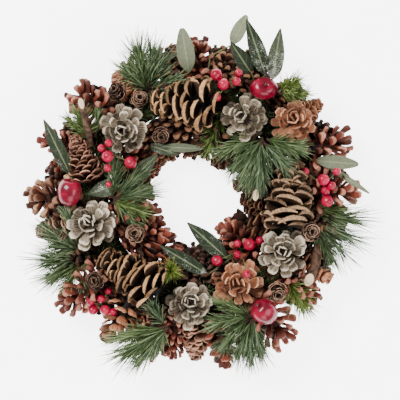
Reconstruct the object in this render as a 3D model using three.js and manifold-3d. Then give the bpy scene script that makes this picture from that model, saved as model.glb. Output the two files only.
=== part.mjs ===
// A winter wreath, about 35 cm across. Pine cones, small larch cones, apples, berries, leaves,
// twigs and pine sprays are fixed on a ring of wound vine. Millimetres, +Z up.
// The wreath lies on its back: the ring's flat back is at z = 0 and its front looks up.
// X and Y below are measured from the ring's centre, with +Y at the top of the wreath.

import * as THREE from 'three';
import { mergeVertices } from 'three/addons/utils/BufferGeometryUtils.js';
import Module from 'manifold-3d';

const wasm = await Module();
wasm.setup();

// Driving dimensions
const RING_RADIUS = 104; // centre line of the wound ring
const RING_WIDTH = 36;
const RING_HEIGHT = 20;
const RING_STRANDS = 5;
const FROSTED_WIDTH = 51; // a frosted cone, across its open scales
const FROSTED_LENGTH = 34;
const LARGE_WIDTH = 57; // a large open cone, lying on its side
const LARGE_LENGTH = 78;
const LARCH_WIDTH = 22; // a small larch cone
const LARCH_LENGTH = 20;
const APPLE_WIDTH = 27;
const NEEDLE_THICKNESS = 1.5;
const LEAF_THICKNESS = 1.4; // at the midrib, and 0.6 of it at the edges
const STALK_WIDTH = 1.8;
const OUTER_HEIGHT = 20.5; // the stalk ends of the cones on the ring's outer flank
const OUTER_TILT = 12; // degrees that these cones point up
const INNER_HEIGHT = 18.5; // the same for the cones on the inner flank
const INNER_TILT = 4;
const GAP = 0.35; // left between pieces that touch
const SEAM_EDGE = 0.02;
const REST_TOLERANCE = 0.05;
const DROP_HEIGHT = 140; // above every piece

const DOWN = new THREE.Vector3(0, 0, -1);
const UP = new THREE.Vector3(0, 0, 1);
const GOLDEN_ANGLE = Math.PI * (3 - Math.sqrt(5));

const material = (color, roughness) => new THREE.MeshStandardMaterial({ color, roughness, metalness: 0 });
const VINE = material(0x5b4230, 0.85);
const FROSTED_SCALE = material(0x9c9080, 0.8);
const RED_BROWN_SCALE = material(0x7a4a33, 0.7);
const TAN_SCALE = material(0xa9805a, 0.7);
const DARK_SCALE = material(0x543a2c, 0.75);
const APPLE_RED = material(0xb3142b, 0.25);
const BERRY_RED = material(0xc9213f, 0.3);
const PINE_GREEN = material(0x3f5e3c, 0.6);
const LEAF_GREEN = material(0x64806d, 0.6);
const BARK = material(0x6b5443, 0.9);

// Seeded random numbers, so that the wreath is the same each time.
function randomFrom(seed) {
  let state = seed;
  return () => {
    state = (state + 0x6d2b79f5) | 0;
    let t = Math.imul(state ^ (state >>> 15), 1 | state);
    t = (t + Math.imul(t ^ (t >>> 7), 61 | t)) ^ t;
    return ((t ^ (t >>> 14)) >>> 0) / 2 ** 32;
  };
}

const radians = THREE.MathUtils.degToRad;
const between = (low, high, share) => low + (high - low) * share;

// A direction that runs along a level one, [x, y], raised by some degrees.
function raised([x, y], degrees) {
  const flat = new THREE.Vector3(x, y, 0).normalize();
  return flat.multiplyScalar(Math.cos(radians(degrees))).setZ(Math.sin(radians(degrees)));
}

// Closed surfaces and solids

function geometryOf(points, faces) {
  return new THREE.BufferGeometry().setFromPoints(points).setIndex(faces);
}

// The closed surface over rings of equal count, from one pole to the other.
function skin(start, rings, end) {
  const count = rings[0].length;
  const last = rings.length - 1;
  const at = (ring, i) => 1 + ring * count + (i % count);
  const endPole = 1 + rings.length * count;
  const faces = [];
  for (let i = 0; i < count; i++) {
    faces.push(0, at(0, i + 1), at(0, i));
    for (let ring = 0; ring < last; ring++) {
      faces.push(at(ring, i), at(ring, i + 1), at(ring + 1, i + 1));
      faces.push(at(ring, i), at(ring + 1, i + 1), at(ring + 1, i));
    }
    faces.push(at(last, i), at(last, i + 1), endPole);
  }
  return geometryOf([start, ...rings.flat(), end], faces);
}

// A circle of points about +Z. lobe(k) changes the radius from point to point.
function circle(sides, radius, height, lobe = () => 1) {
  return Array.from({ length: sides }, (_, k) => {
    const angle = (2 * Math.PI * k) / sides;
    const r = radius * lobe(k);
    return new THREE.Vector3(r * Math.cos(angle), r * Math.sin(angle), height);
  });
}

// A mesh's geometry as a solid, with its shared vertices merged.
function solidOf(geometry, matrix = new THREE.Matrix4()) {
  const bare = new THREE.BufferGeometry();
  bare.setAttribute('position', geometry.getAttribute('position').clone()).setIndex(geometry.index);
  const merged = mergeVertices(bare.applyMatrix4(matrix), 1e-3);
  return new wasm.Manifold(new wasm.Mesh({
    numProp: 3,
    vertProperties: new Float32Array(merged.attributes.position.array),
    triVerts: new Uint32Array(merged.index.array),
  }));
}

function geometryFrom(solid) {
  const mesh = solid.getMesh();
  const geometry = new THREE.BufferGeometry();
  geometry.setAttribute('position', new THREE.BufferAttribute(new Float32Array(mesh.vertProperties), 3));
  return geometry.setIndex(new THREE.BufferAttribute(new Uint32Array(mesh.triVerts), 1));
}

// Joins solids. The very short edges that this leaves along the seams are dropped.
const fused = (solids) => geometryFrom(wasm.Manifold.union(solids).simplify(SEAM_EDGE));

// A round rod along points, thinner towards its end.
function rod(points, startRadius, endRadius, sides = 4) {
  const rings = points.map((point, i) => {
    const before = points[Math.max(i - 1, 0)];
    const after = points[Math.min(i + 1, points.length - 1)];
    const turn = new THREE.Quaternion().setFromUnitVectors(UP, after.clone().sub(before).normalize());
    const radius = between(startRadius, endRadius, i / (points.length - 1));
    return circle(sides, radius, 0).map((corner) => corner.applyQuaternion(turn).add(point));
  });
  return skin(points[0], rings, points[points.length - 1]);
}

// Laying pieces against each other

const wreath = new THREE.Group();
const laid = []; // solids that are in place already, in the wreath's frame

function worldSolid(mesh) {
  mesh.updateMatrixWorld(true);
  return solidOf(mesh.geometry, mesh.matrixWorld);
}

function boxGap(a, b) {
  const apart = [0, 1, 2].map((k) => Math.max(a.min[k] - b.max[k], b.min[k] - a.max[k], 0));
  return Math.hypot(...apart);
}

// The distance from a solid to the nearest piece in place, up to a limit.
function room(solid, limit, among = laid) {
  const box = solid.boundingBox();
  let nearest = limit;
  for (const other of among) {
    if (boxGap(box, other.box) < nearest) nearest = Math.min(nearest, solid.minGap(other.solid, nearest));
  }
  return nearest;
}

function keep(mesh) {
  const solid = worldSolid(mesh);
  laid.push({ solid, box: solid.boundingBox() });
  wreath.add(mesh);
}

// Moves a mesh along a direction until it is one gap from what it meets.
function settle(mesh, along = DOWN, among = laid) {
  const farthest = 3 * DROP_HEIGHT;
  const longestStep = 40;
  const direction = along.clone().normalize();
  let solid = worldSolid(mesh);
  let moved = 0;
  let free = room(solid, longestStep, among) - GAP;
  if (free <= 0) throw new Error(mesh.name + ' starts inside another piece');
  while (free > REST_TOLERANCE) {
    mesh.position.addScaledVector(direction, free);
    solid = solid.translate(direction.clone().multiplyScalar(free).toArray());
    moved += free;
    if (moved > farthest) throw new Error(mesh.name + ' meets nothing');
    free = room(solid, longestStep, among) - GAP;
  }
  return mesh;
}

// Drops a mesh over [x, y], or brings it from a start [x, y, z] towards a target, until it rests.
function rest(mesh, [x, y], from, towards) {
  if (!from) {
    mesh.position.set(x, y, DROP_HEIGHT);
    return settle(mesh);
  }
  mesh.position.set(...from);
  return settle(mesh, new THREE.Vector3(...towards).sub(mesh.position));
}

function named(name, geometry, look) {
  const mesh = new THREE.Mesh(geometry, look);
  mesh.name = name;
  return mesh;
}

// Turns a mesh so that its own +Z points along a direction, after a spin about that axis.
function aim(mesh, direction, spin = 0) {
  const turn = new THREE.Quaternion().setFromUnitVectors(UP, direction.clone().normalize());
  mesh.quaternion.copy(turn.multiply(new THREE.Quaternion().setFromAxisAngle(UP, spin)));
  return mesh;
}

// The vine ring

// Strands of vine that wind round each other, with a flat back.
function woundRing() {
  const around = 20;
  const across = 2 * RING_STRANDS;
  const turns = 3;
  const centreHeight = 0.42 * RING_HEIGHT;
  const points = [];
  const faces = [];
  for (let i = 0; i < around; i++) {
    for (let j = 0; j < across; j++) {
      const heading = (2 * Math.PI * i) / around;
      const section = 2 * Math.PI * (j / across + (turns * i) / around);
      const ridge = j % 2 ? 0.86 : 1;
      const radius = RING_RADIUS + 0.5 * RING_WIDTH * ridge * Math.cos(section);
      const height = centreHeight + 0.58 * RING_HEIGHT * ridge * Math.sin(section);
      points.push(new THREE.Vector3(radius * Math.cos(heading), radius * Math.sin(heading), height));
      const [a, b] = [i, (i + 1) % around].map((row) => row * across);
      const next = (j + 1) % across;
      faces.push(a + j, b + j, b + next, a + j, b + next, a + next);
    }
  }
  const floor = new THREE.BoxGeometry(4 * RING_RADIUS, 4 * RING_RADIUS, RING_HEIGHT);
  floor.translate(0, 0, -0.5 * RING_HEIGHT);
  return geometryFrom(solidOf(geometryOf(points, faces)).subtract(solidOf(floor)));
}

const ring = named('vine_ring', woundRing(), VINE);
keep(ring);

// Cones

// The points of one scale and the notch beside it, for an even and an odd row, which is staggered:
// [share of the pitch, share of the reach, share of the rise].
const NOTCH = [0.54, 0.35];
const POINTED_SCALE = [
  [[0, 1, 1], [0.5, ...NOTCH]],
  [[0, ...NOTCH], [0.5, 1, 1]],
];
const ROUNDED_SCALE = [
  [[0.16, 1, 1], [0.5, ...NOTCH], [0.84, 1, 1]],
  [[0, ...NOTCH], [0.34, 1, 1], [0.66, 1, 1]],
];

// A cone on its stalk end at the origin, tip up. Each row of scales is a ring of roots on the core
// and a ring of tips, which stand out at the scales and fall back between them.
function scaledCone({ length, width, rows, scales, outline = POINTED_SCALE, opening = 0.2 }) {
  const count = outline[0].length;
  const pitch = (2 * Math.PI) / scales;
  const rings = [];
  for (let row = 0; row < rows; row++) {
    const t = row / (rows - 1);
    const reach = 0.5 * width * Math.sin(Math.PI * (0.3 + 0.62 * t));
    const rootHeight = length * (0.04 + 0.74 * t);
    const tipRise = length * (0.08 + opening * t);
    const roots = [];
    const tips = [];
    for (let k = 0; k < scales * count; k++) {
      const [share, out, rise] = outline[row % 2][k % count];
      const angle = pitch * (Math.floor(k / count) + share);
      const rootAngle = pitch * (k / count);
      roots.push(new THREE.Vector3().setFromCylindricalCoords(0.3 * reach, rootAngle, rootHeight));
      tips.push(new THREE.Vector3().setFromCylindricalCoords(out * reach, angle, rootHeight + tipRise * rise));
    }
    rings.push(roots, tips);
  }
  const upright = new THREE.Matrix4().set(0, 0, 1, 0, 1, 0, 0, 0, 0, 1, 0, 0, 0, 0, 0, 1);
  return skin(new THREE.Vector3(), rings, new THREE.Vector3(0, 0.96 * length, 0)).applyMatrix4(upright);
}

// One cone whose stalk end meets a flank of the ring, at an angle round the ring in degrees.
function flankCone([degrees, length, width], spin, { inward, height, tilt, rows }) {
  const outward = [Math.cos(radians(degrees)), Math.sin(radians(degrees))];
  const facing = raised(outward.map((part) => (inward ? -part : part)), tilt);
  const mesh = named('flank cone', scaledCone({ length, width, rows, scales: 5 }));
  const start = RING_RADIUS + (inward ? -1 : 1) * (0.5 * RING_WIDTH + 20);
  mesh.position.set(start * outward[0], start * outward[1], height);
  settle(aim(mesh, facing, spin), facing.clone().setZ(0).negate(), [laid[0]]);
  return worldSolid(mesh);
}

// Cones side by side on one flank, [degrees, length, width], fused where their scales interlock.
// Each is turned about its axis, and moved round the ring if need be, until it meets the one before.
function flankCones(name, look, cones, flank) {
  const leastCommon = 3; // cubic millimetres
  const spins = [0, 1, 2, 3, 4, 5].map((k) => radians(12 * k));
  const solids = [];
  cones.forEach(([degrees, length, width], i) => {
    const meets = (solid) => i === 0 || solids[i - 1].intersect(solid).volume() > leastCommon;
    const towards = i > 0 ? Math.sign(cones[i - 1][0] - degrees) : 0;
    let solid;
    for (let moved = 0; !solid; moved += towards) {
      const turned = spins.map((spin) => flankCone([degrees + moved, length, width], spin, flank));
      solid = turned.find(meets);
    }
    solids.push(solid);
  });
  keep(named(name, fused(solids), look));
}

function outerCones(name, look, cones) {
  flankCones(name, look, cones, { inward: false, height: OUTER_HEIGHT, tilt: OUTER_TILT, rows: 4 });
}

function innerCones(name, look, cones) {
  flankCones(name, look, cones, { inward: true, height: INNER_HEIGHT, tilt: INNER_TILT, rows: 3 });
}

outerCones('outer_cones_north', DARK_SCALE, [[98, 30, 32], [87, 38, 32], [78, 32, 30], [66, 36, 33]]);
outerCones('outer_cones_north_west', RED_BROWN_SCALE, [[124, 30, 32], [139, 42, 44], [155, 44, 46]]);
outerCones('outer_cones_west', RED_BROWN_SCALE, [[177, 50, 46], [191, 40, 36]]);
outerCones('outer_cone_south_west', RED_BROWN_SCALE, [[218, 50, 42]]);
outerCones('outer_cone_south_south_west', TAN_SCALE, [[238, 44, 42]]);
outerCones('outer_cones_south', DARK_SCALE, [[258, 44, 38], [268, 34, 30], [280, 48, 40]]);
outerCones('outer_cone_south_east', RED_BROWN_SCALE, [[302, 54, 42]]);
outerCones('outer_cones_east_south_east', RED_BROWN_SCALE, [[322, 48, 36], [331, 42, 24]]);
outerCones('outer_cone_east', TAN_SCALE, [[3, 40, 34]]);
outerCones('outer_cones_north_east', RED_BROWN_SCALE, [[24, 44, 40], [37, 32, 28]]);

innerCones('inner_cone_north', DARK_SCALE, [[104, 42, 36]]);
innerCones('inner_cone_north_east', DARK_SCALE, [[54, 42, 36]]);
innerCones('inner_cone_east', DARK_SCALE, [[-14, 41, 36]]);
innerCones('inner_cone_south_east', RED_BROWN_SCALE, [[-46, 40, 32]]);
innerCones('inner_cones_south', RED_BROWN_SCALE, [[-92, 34, 34], [-107, 36, 30], [-121, 40, 34], [-137, 36, 32]]);
innerCones('inner_cones_west', RED_BROWN_SCALE, [[147, 42, 36], [162, 38, 30], [179, 43, 34], [200, 40, 36]]);

// A cone on the front of the wreath, with its middle over [x, y] and its tip along a direction.
function frontCone(name, look, shape, [x, y], tip, spin = 0) {
  const mesh = named(name, scaledCone(shape), look);
  const direction = new THREE.Vector3(...tip).normalize();
  aim(mesh, direction, spin);
  const stalkEnd = new THREE.Vector3(x, y, 0).addScaledVector(direction, -0.5 * shape.length);
  keep(rest(mesh, [stalkEnd.x, stalkEnd.y]));
}

const large = { length: LARGE_LENGTH, width: LARGE_WIDTH, rows: 6, scales: 5, outline: ROUNDED_SCALE, opening: 0.1 };
frontCone('large_cone_north', TAN_SCALE, { ...large, length: 72 }, [-12, 91], [-1, 0.05, 0.05]);
frontCone('large_cone_east', TAN_SCALE, { ...large, length: 72 }, [91, 1], [0.1, 1, 0.05], 0.6);
frontCone('large_cone_south_west', TAN_SCALE, large, [-66, -76], [-0.85, 0.5, -0.12], 0.3);

const frosted = { length: FROSTED_LENGTH, width: FROSTED_WIDTH, rows: 4, scales: 6, outline: ROUNDED_SCALE, opening: 0.16 };
frontCone('frosted_cone_north_west', FROSTED_SCALE, frosted, [-72, 67], [-0.05, 0, 1]);
frontCone('frosted_cone_north_east', FROSTED_SCALE, frosted, [47, 78], [-0.15, 0.05, 1], 0.4);
frontCone('frosted_cone_west', FROSTED_SCALE, frosted, [-104, -29], [-0.2, 0.15, 1], 0.8);
frontCone('frosted_cone_south', FROSTED_SCALE, frosted, [-7, -109], [0.05, 0.15, 1], 1.2);
frontCone('frosted_cone_east', FROSTED_SCALE, frosted, [85, -57], [-0.05, 0.05, 1], 1.6);
frontCone('brown_cone_north_east', TAN_SCALE, { ...frosted, width: 46 }, [96, 74], [0, 0.25, 1], 0.3);
frontCone('brown_cone_south', TAN_SCALE, frosted, [42, -87], [-0.1, 0.05, 1], 0.9);
const slender = { length: 50, width: 36, rows: 5, scales: 5 };
frontCone('slender_cone_west', DARK_SCALE, slender, [-111, 34], [-0.3, 0.95, 0.25]);

const larch = { length: LARCH_LENGTH, width: LARCH_WIDTH, rows: 3, scales: 5, opening: 0.2 };
frontCone('larch_cone_north', DARK_SCALE, larch, [-56, 96], [0.05, 0.1, 1]);
frontCone('larch_cone_north_west', DARK_SCALE, larch, [-78, 103], [-0.3, 0.3, 1], 0.5);
frontCone('larch_cone_inner_north', DARK_SCALE, { ...larch, width: 20 }, [-35, 60], [0.1, -0.2, 1], 1);
frontCone('larch_cone_inner_west', DARK_SCALE, larch, [-60, -37], [0, 0.1, 1], 0.2);
frontCone('larch_cone_south_west', DARK_SCALE, larch, [-100, -84], [-0.1, 0, 1], 0.7);
frontCone('larch_cone_east', DARK_SCALE, larch, [113, -36], [0.1, 0, 1], 0.9);
frontCone('larch_cone_south_east', TAN_SCALE, larch, [80, -95], [0.1, -0.3, 1], 0.3);

// Leaves

// A leaf and its stalk, from the origin through the leaf's base to its tip: cross rows of three
// points, alike on both faces. The blade is arched along its length and folded up a little on both
// sides of the midrib.
function leaf(base, tip, width) {
  const arch = 0.1;
  const length = base.distanceTo(tip);
  const along = tip.clone().sub(base).normalize();
  const side = new THREE.Vector3().crossVectors(along, UP).normalize();
  const stalkSide = new THREE.Vector3().crossVectors(base, UP).normalize();
  const front = new THREE.Vector3().crossVectors(side, along);
  const centre = (t) => base.clone()
    .addScaledVector(along, t * length)
    .addScaledVector(front, 4 * arch * length * t * (1 - t));
  const reach = (t) => STALK_WIDTH / 2 + 0.5 * width * Math.sin(Math.PI * t ** 0.8);
  const blade = [0, 0.2, 0.5, 0.8, 1].map((t) => [centre(t), side, reach(t)]);
  const rows = [[new THREE.Vector3(), stalkSide, STALK_WIDTH / 2], ...blade];
  const points = [1, -1].flatMap((face) => rows.flatMap(([middle, sideways, half]) => (
    [-1, 0, 1].map((across) => {
      const thickness = LEAF_THICKNESS * (across ? 0.6 : 1);
      const rise = 0.3 * half * Math.abs(across) + 0.5 * face * thickness;
      return middle.clone().addScaledVector(sideways, across * half).addScaledVector(front, rise);
    })
  )));
  const last = rows.length - 1;
  const upper = (row, column) => 3 * row + column;
  const below = 3 * rows.length;
  const faces = [];
  for (let row = 0; row < last; row++) {
    for (let column = 0; column < 2; column++) {
      const [a, b] = [upper(row, column), upper(row + 1, column)];
      faces.push(a, b + 1, b, a, a + 1, b + 1);
      faces.push(below + a, below + b, below + b + 1, below + a, below + b + 1, below + a + 1);
    }
  }
  const edge = [
    ...rows.map((_, row) => upper(row, 0)),
    upper(last, 1),
    ...rows.map((_, row) => upper(last - row, 2)),
    upper(0, 1),
  ];
  edge.forEach((a, i) => {
    const b = edge[(i + 1) % edge.length];
    faces.push(a, b, below + b, a, below + b, below + a);
  });
  return geometryOf(points, faces);
}

// Leaves on stalks from one root, each as [base, tip, width] with points [x, y, height above the
// root]. The solids have their origin at the root.
function stalkedLeaves([rootX, rootY], leaves) {
  const local = ([x, y, height]) => new THREE.Vector3(x - rootX, y - rootY, height);
  return leaves.map(([base, tip, width]) => solidOf(leaf(local(base), local(tip), width)));
}

function frontLeaves(name, root, leaves) {
  keep(rest(named(name, fused(stalkedLeaves(root, leaves)), LEAF_GREEN), root));
}

frontLeaves('leaves_north_east', [62, 112], [
  [[40, 146, 10], [50, 180, 24], 13],
  [[57, 120, 6], [36, 152, 22], 14],
  [[69, 120, 8], [52, 174, 30], 14],
  [[75, 119, 4], [81, 165, 26], 14],
]);
frontLeaves('leaf_west', [-121, 13], [[[-124, 20, 3], [-151, 76, 10], 15]]);
frontLeaves('leaves_inner_north', [-50, 50], [
  [[-42, 50, 3], [10, 41, 8], 10],
  [[-42, 46, 2], [-6, 46, 4], 10],
]);
frontLeaves('leaves_inner_west', [-70, 12], [
  [[-62, 17, 3], [-38, 41, 8], 14],
  [[-75, 12, 3], [-108, 1, 9], 16],
]);
frontLeaves('leaves_east', [112, 36], [
  [[118, 35, 4], [161, 33, 12], 13],
  [[128, 31, 4], [172, 2, 10], 6],
]);

// Apples

// Soft lobes round a body that is hollowed at the stalk and at the eye.
function apple(width) {
  const profile = [[0.16, 0], [0.36, 0.1], [0.5, 0.42], [0.44, 0.76], [0.16, 0.86]];
  const lobe = (k) => 1 - 0.05 * (k % 2);
  const rings = profile.map(([radius, height]) => circle(10, radius * width, height * width, lobe));
  return skin(new THREE.Vector3(0, 0, 0.06 * width), rings, new THREE.Vector3(0, 0, 0.74 * width));
}

function frontApple(name, place, width, eye) {
  keep(rest(aim(named(name, apple(width), APPLE_RED), new THREE.Vector3(...eye)), place));
}

frontApple('apple_west', [-126, 4], 0.95 * APPLE_WIDTH, [-0.3, -0.4, 1]);
frontApple('apple_north_east', [68, 108], APPLE_WIDTH, [0.2, 0.2, 1]);
frontApple('apple_south_east', [69, -115], APPLE_WIDTH, [0.3, 0.2, 1]);

// Twigs

function frontTwig(name, points, thickness) {
  const [x, y] = points[0];
  const path = points.map((point) => new THREE.Vector3(point[0] - x, point[1] - y, point[2]));
  keep(rest(named(name, rod(path, 0.5 * thickness, 0.45 * thickness, 7), BARK), [x, y]));
}

frontTwig('twig_south_east', [[119, -48, 0], [117, -66, 4], [112, -84, 8]], 11);

// Berries

function berry(centre, radius) {
  const sides = 6;
  const latitude = radians(35);
  const rings = [-1, 1].map((half) => (
    circle(sides, radius * Math.cos(latitude), half * radius * Math.sin(latitude)).map((p) => p.add(centre))
  ));
  const pole = new THREE.Vector3(0, 0, radius);
  return skin(centre.clone().sub(pole), rings, centre.clone().add(pole));
}

// Berries on wire stalks from one root, all one body: [x, y, radius, height above the root].
// A pick of berries can have leaves too.
function frontBerries(name, [rootX, rootY], berries, leaves = []) {
  const solids = berries.flatMap(([x, y, radius, height]) => {
    const centre = new THREE.Vector3(x - rootX, y - rootY, height);
    return [solidOf(berry(centre, radius)), solidOf(rod([new THREE.Vector3(), centre], 0.9, 0.8, 3))];
  });
  solids.push(...stalkedLeaves([rootX, rootY], leaves));
  keep(rest(named(name, fused(solids), BERRY_RED), [rootX, rootY]));
}

frontBerries('berries_north_west', [-84, 42], [
  [-88, 53, 4, 12], [-95, 48, 4, 11], [-89, 40, 6, 12], [-66, 34, 6, 10], [-89, 29, 4, 10], [-88, 13, 3, 8],
]);
frontBerries('berries_north', [32, 112], [
  [20, 122, 6, 10], [27, 112, 6, 13], [21, 99, 4, 14], [42, 123, 4, 9], [40, 115, 4.5, 11],
]);
frontBerries('berries_east', [126, 10], [
  [108, 24, 4, 12], [139, 24, 4, 12], [126, 16, 6, 13], [134, 10, 4.5, 11], [128, 5, 4.5, 10], [130, -5, 6, 9],
]);
frontBerries('berries_south_west', [-94, -108], [
  [-87, -94, 3.5, 12], [-94, -102, 4, 11], [-104, -105, 4, 10], [-102, -113, 5, 8], [-90, -113, 5, 9],
  [-82, -115, 4, 8],
]);
frontBerries('berries_south_east', [45, -54], [
  [41, -47, 4, 10], [53, -48, 6, 12], [63, -44, 4, 14], [41, -58, 4, 11], [21, -64, 5.5, 10],
], [
  [[31, -62, 3], [-9, -26, 9], 17],
  [[4, -76, 6], [-36, -49, 12], 12],
]);

// Pine sprays

function needle(root, direction, length) {
  const side = new THREE.Vector3().crossVectors(direction, new THREE.Vector3(0.31, 0.17, 0.94)).normalize();
  const corners = [0, 1, 2].map((k) => (
    side.clone().applyAxisAngle(direction, (2 * Math.PI * k) / 3).multiplyScalar(NEEDLE_THICKNESS / 2).add(root)
  ));
  const tip = root.clone().addScaledVector(direction, length);
  return geometryOf([...corners, tip], [0, 2, 1, 0, 1, 3, 1, 2, 3, 2, 0, 3]);
}

// Needles all round a stem that is in place, from its foot to past its end.
// A needle that would cross another piece is bent up clear of it.
function needlesOn(stem, { needles, length, spread }, random) {
  const tries = 9;
  const lift = 0.16;
  const side = new THREE.Vector3().crossVectors(stem.along, UP).normalize();
  const solids = [];
  for (let i = 0; i < needles; i++) {
    const t = (i + 0.5) / needles;
    const root = stem.root.clone().addScaledVector(stem.along, stem.length * between(0.15, 0.97, t));
    const lean = radians(spread) * between(1, 0.25, t) * between(0.6, 1, random());
    const outward = side.clone().applyAxisAngle(stem.along, i * GOLDEN_ANGLE);
    const needleLength = length * between(0.8, 1, random());
    const direction = stem.along.clone().multiplyScalar(Math.cos(lean)).addScaledVector(outward, Math.sin(lean));
    for (let attempt = 0; attempt < tries; attempt++) {
      const bent = direction.clone().addScaledVector(UP, lift * attempt).normalize();
      const solid = solidOf(needle(root, bent, needleLength));
      if (solid.boundingBox().min[2] > GAP && room(solid, 1) > GAP) {
        solids.push(solid);
        break;
      }
    }
  }
  return solids;
}

// A spray: a slim stem from its root along a heading, tilted up, then its needles where it rests.
// reach is how far the needle tips are from the root, and spread the widest lean of a needle.
// Its leaves or a twig are part of the same body.
function spray(name, { root, heading, tilt = 18, reach, spread, needles, seed, leaves, twig, from, towards }) {
  const along = raised(heading, tilt);
  const stem = { along, length: 0.5 * reach };
  const core = [along.clone().multiplyScalar(-2), along.clone().multiplyScalar(stem.length)];
  const solids = [solidOf(rod(core, 2.2, 1.2, 4))];
  if (leaves) solids.push(...stalkedLeaves(root, leaves));
  if (twig) solids.push(solidOf(rod(twig.map((point) => new THREE.Vector3(...point)), 3.2, 3, 6)));
  const mesh = rest(named(name, fused(solids), PINE_GREEN), root, from, towards);
  stem.root = mesh.position.clone();
  const back = mesh.position.clone().negate().toArray();
  const added = needlesOn(stem, { needles, length: 0.62 * reach, spread }, randomFrom(seed));
  mesh.geometry = fused([...solids, ...added.map((solid) => solid.translate(back))]);
  keep(mesh);
}

spray('spray_north', {
  root: [-49, 107], heading: [0.05, 1], reach: 58, spread: 50, needles: 26, seed: 1,
  leaves: [[[-8, 125, 4], [-13, 168, 20], 18]],
});
spray('spray_north_west', {
  root: [-105, 56], heading: [-0.75, 0.65], reach: 34, spread: 45, needles: 18, seed: 2,
  twig: [[1, -2, -1], [-3, 16, 4], [-8, 36, 9]],
});
spray('spray_inner_east', {
  root: [60, 49], heading: [0.05, -1], tilt: 14, reach: 56, spread: 80, needles: 30, seed: 3,
  twig: [[-2, -2, -1], [-2, -20, 3], [-1, -45, 9]], from: [24, 10, 60], towards: [60, 49, 52],
});
spray('spray_east', {
  root: [123, -19], heading: [0.85, -0.5], tilt: 8, reach: 71, spread: 60, needles: 30, seed: 4,
  from: [190, -58, 60], towards: [119, -17, 22],
});
spray('spray_south_east', {
  root: [88, -86], heading: [0.6, -0.8], reach: 42, spread: 35, needles: 20, seed: 5,
});
spray('spray_south', {
  root: [56, -122], heading: [-0.45, -0.9], reach: 54, spread: 65, needles: 30, seed: 6,
});
spray('spray_south_south_west', {
  root: [-25, -130], heading: [-0.85, -0.5], reach: 62, spread: 45, needles: 30, seed: 7,
});
spray('spray_west', {
  root: [-114, -60], heading: [-0.95, -0.15], reach: 60, spread: 60, needles: 30, seed: 8,
  from: [-188, -72, 60], towards: [-117, -62, 22],
});
spray('spray_north_east', {
  root: [79, 106], heading: [0.9, 0.5], reach: 32, spread: 45, needles: 18, seed: 9,
});
spray('spray_inner_west', {
  root: [-84, -4], heading: [0.9, 0.35], reach: 56, spread: 50, needles: 24, seed: 10,
});
spray('spray_inner_south', {
  root: [-26, -75], heading: [1, 0.1], tilt: 75, reach: 16, spread: 70, needles: 16, seed: 11,
});

// The origin is under the middle of the whole wreath, level with the ring's back.
const extent = new THREE.Box3().setFromObject(wreath, true);
const middle = extent.getCenter(new THREE.Vector3());
wreath.position.set(-middle.x, -middle.y, -extent.min.z);
const part = new THREE.Group();
part.add(wreath);

export default part;
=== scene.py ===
"""The looks of a winter wreath: cones, pine sprays, leaves, apples and berries on a ring of vine.

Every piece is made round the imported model, in metres, in its frame. Plans of pieces are in
millimetres from the ring's centre, with +Y at the top of the wreath and heights from its back.
"""
import math
import random
from collections import namedtuple
from functools import partial

import bmesh
import bpy
import numpy as np
from bpy.props import FloatProperty, FloatVectorProperty, IntProperty, PointerProperty
from mathutils import Matrix, Vector
from mathutils.bvhtree import BVHTree


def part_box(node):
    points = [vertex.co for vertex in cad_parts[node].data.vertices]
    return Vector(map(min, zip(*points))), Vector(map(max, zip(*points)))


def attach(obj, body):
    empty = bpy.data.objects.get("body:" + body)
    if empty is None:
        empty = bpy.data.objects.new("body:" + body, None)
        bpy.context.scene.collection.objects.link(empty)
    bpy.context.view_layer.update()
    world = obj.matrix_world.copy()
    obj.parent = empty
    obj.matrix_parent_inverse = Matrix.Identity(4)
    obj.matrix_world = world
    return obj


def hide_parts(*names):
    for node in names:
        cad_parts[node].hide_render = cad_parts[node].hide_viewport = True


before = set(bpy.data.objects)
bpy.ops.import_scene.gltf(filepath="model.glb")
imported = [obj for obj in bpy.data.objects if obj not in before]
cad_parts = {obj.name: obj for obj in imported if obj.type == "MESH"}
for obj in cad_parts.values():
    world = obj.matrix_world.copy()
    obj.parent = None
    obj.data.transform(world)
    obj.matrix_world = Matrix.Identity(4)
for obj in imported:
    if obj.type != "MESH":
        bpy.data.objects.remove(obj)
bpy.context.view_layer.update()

bl_info = {
    "name": "Winter wreath",
    "version": (1, 0, 0),
    "blender": (4, 5, 0),
    "location": "View3D > Sidebar > Wreath",
    "description": "Builds the finished pieces of a winter wreath on its packed model",
    "category": "Object",
}

MM = 0.001
UP = Vector((0, 0, 1))
GOLDEN_ANGLE = math.pi * (3 - math.sqrt(5))
RING_CENTRE = Vector((-4.17, -4.46, 0))  # the ring's centre in the part's frame, in mm
RING_RADIUS = 104  # of the circle in the middle of the ring's stems, in mm
WALL_GAP = 0.2  # how far the lowest scales stay from the wreath's back, in mm


# Colours and shader nodes

GLOSS = 0.2  # the strength of the surfaces' reflections, low as most of them are dry and matte

# The kinds of node that the materials are made of: Blender's name, its settings, the sockets that its
# inputs go to, in order, and its output.
MARK = ("ShaderNodeAttribute", {}, (), "Fac")
PLACE = ("ShaderNodeTexCoord", {}, (), "Object")
VECTOR = ("ShaderNodeCombineXYZ", {}, ("X", "Y", "Z"), 0)
NOISE = ("ShaderNodeTexNoise", {}, ("Vector", "Scale", "Detail"), "Fac")
STEP = ("ShaderNodeMapRange", {"interpolation_type": "SMOOTHSTEP"}, ("Value", "From Min", "From Max"), 0)
SUM = ("ShaderNodeMath", {"operation": "ADD"}, (0, 1), 0)
DIFFERENCE = ("ShaderNodeMath", {"operation": "SUBTRACT"}, (0, 1), 0)
PRODUCT = ("ShaderNodeMath", {"operation": "MULTIPLY"}, (0, 1), 0)
ZIGZAG = ("ShaderNodeMath", {"operation": "PINGPONG"}, (0, 1), 0)
MIX = ("ShaderNodeMix", {"data_type": "RGBA", "clamp_result": True}, (0, 6, 7), 2)
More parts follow.
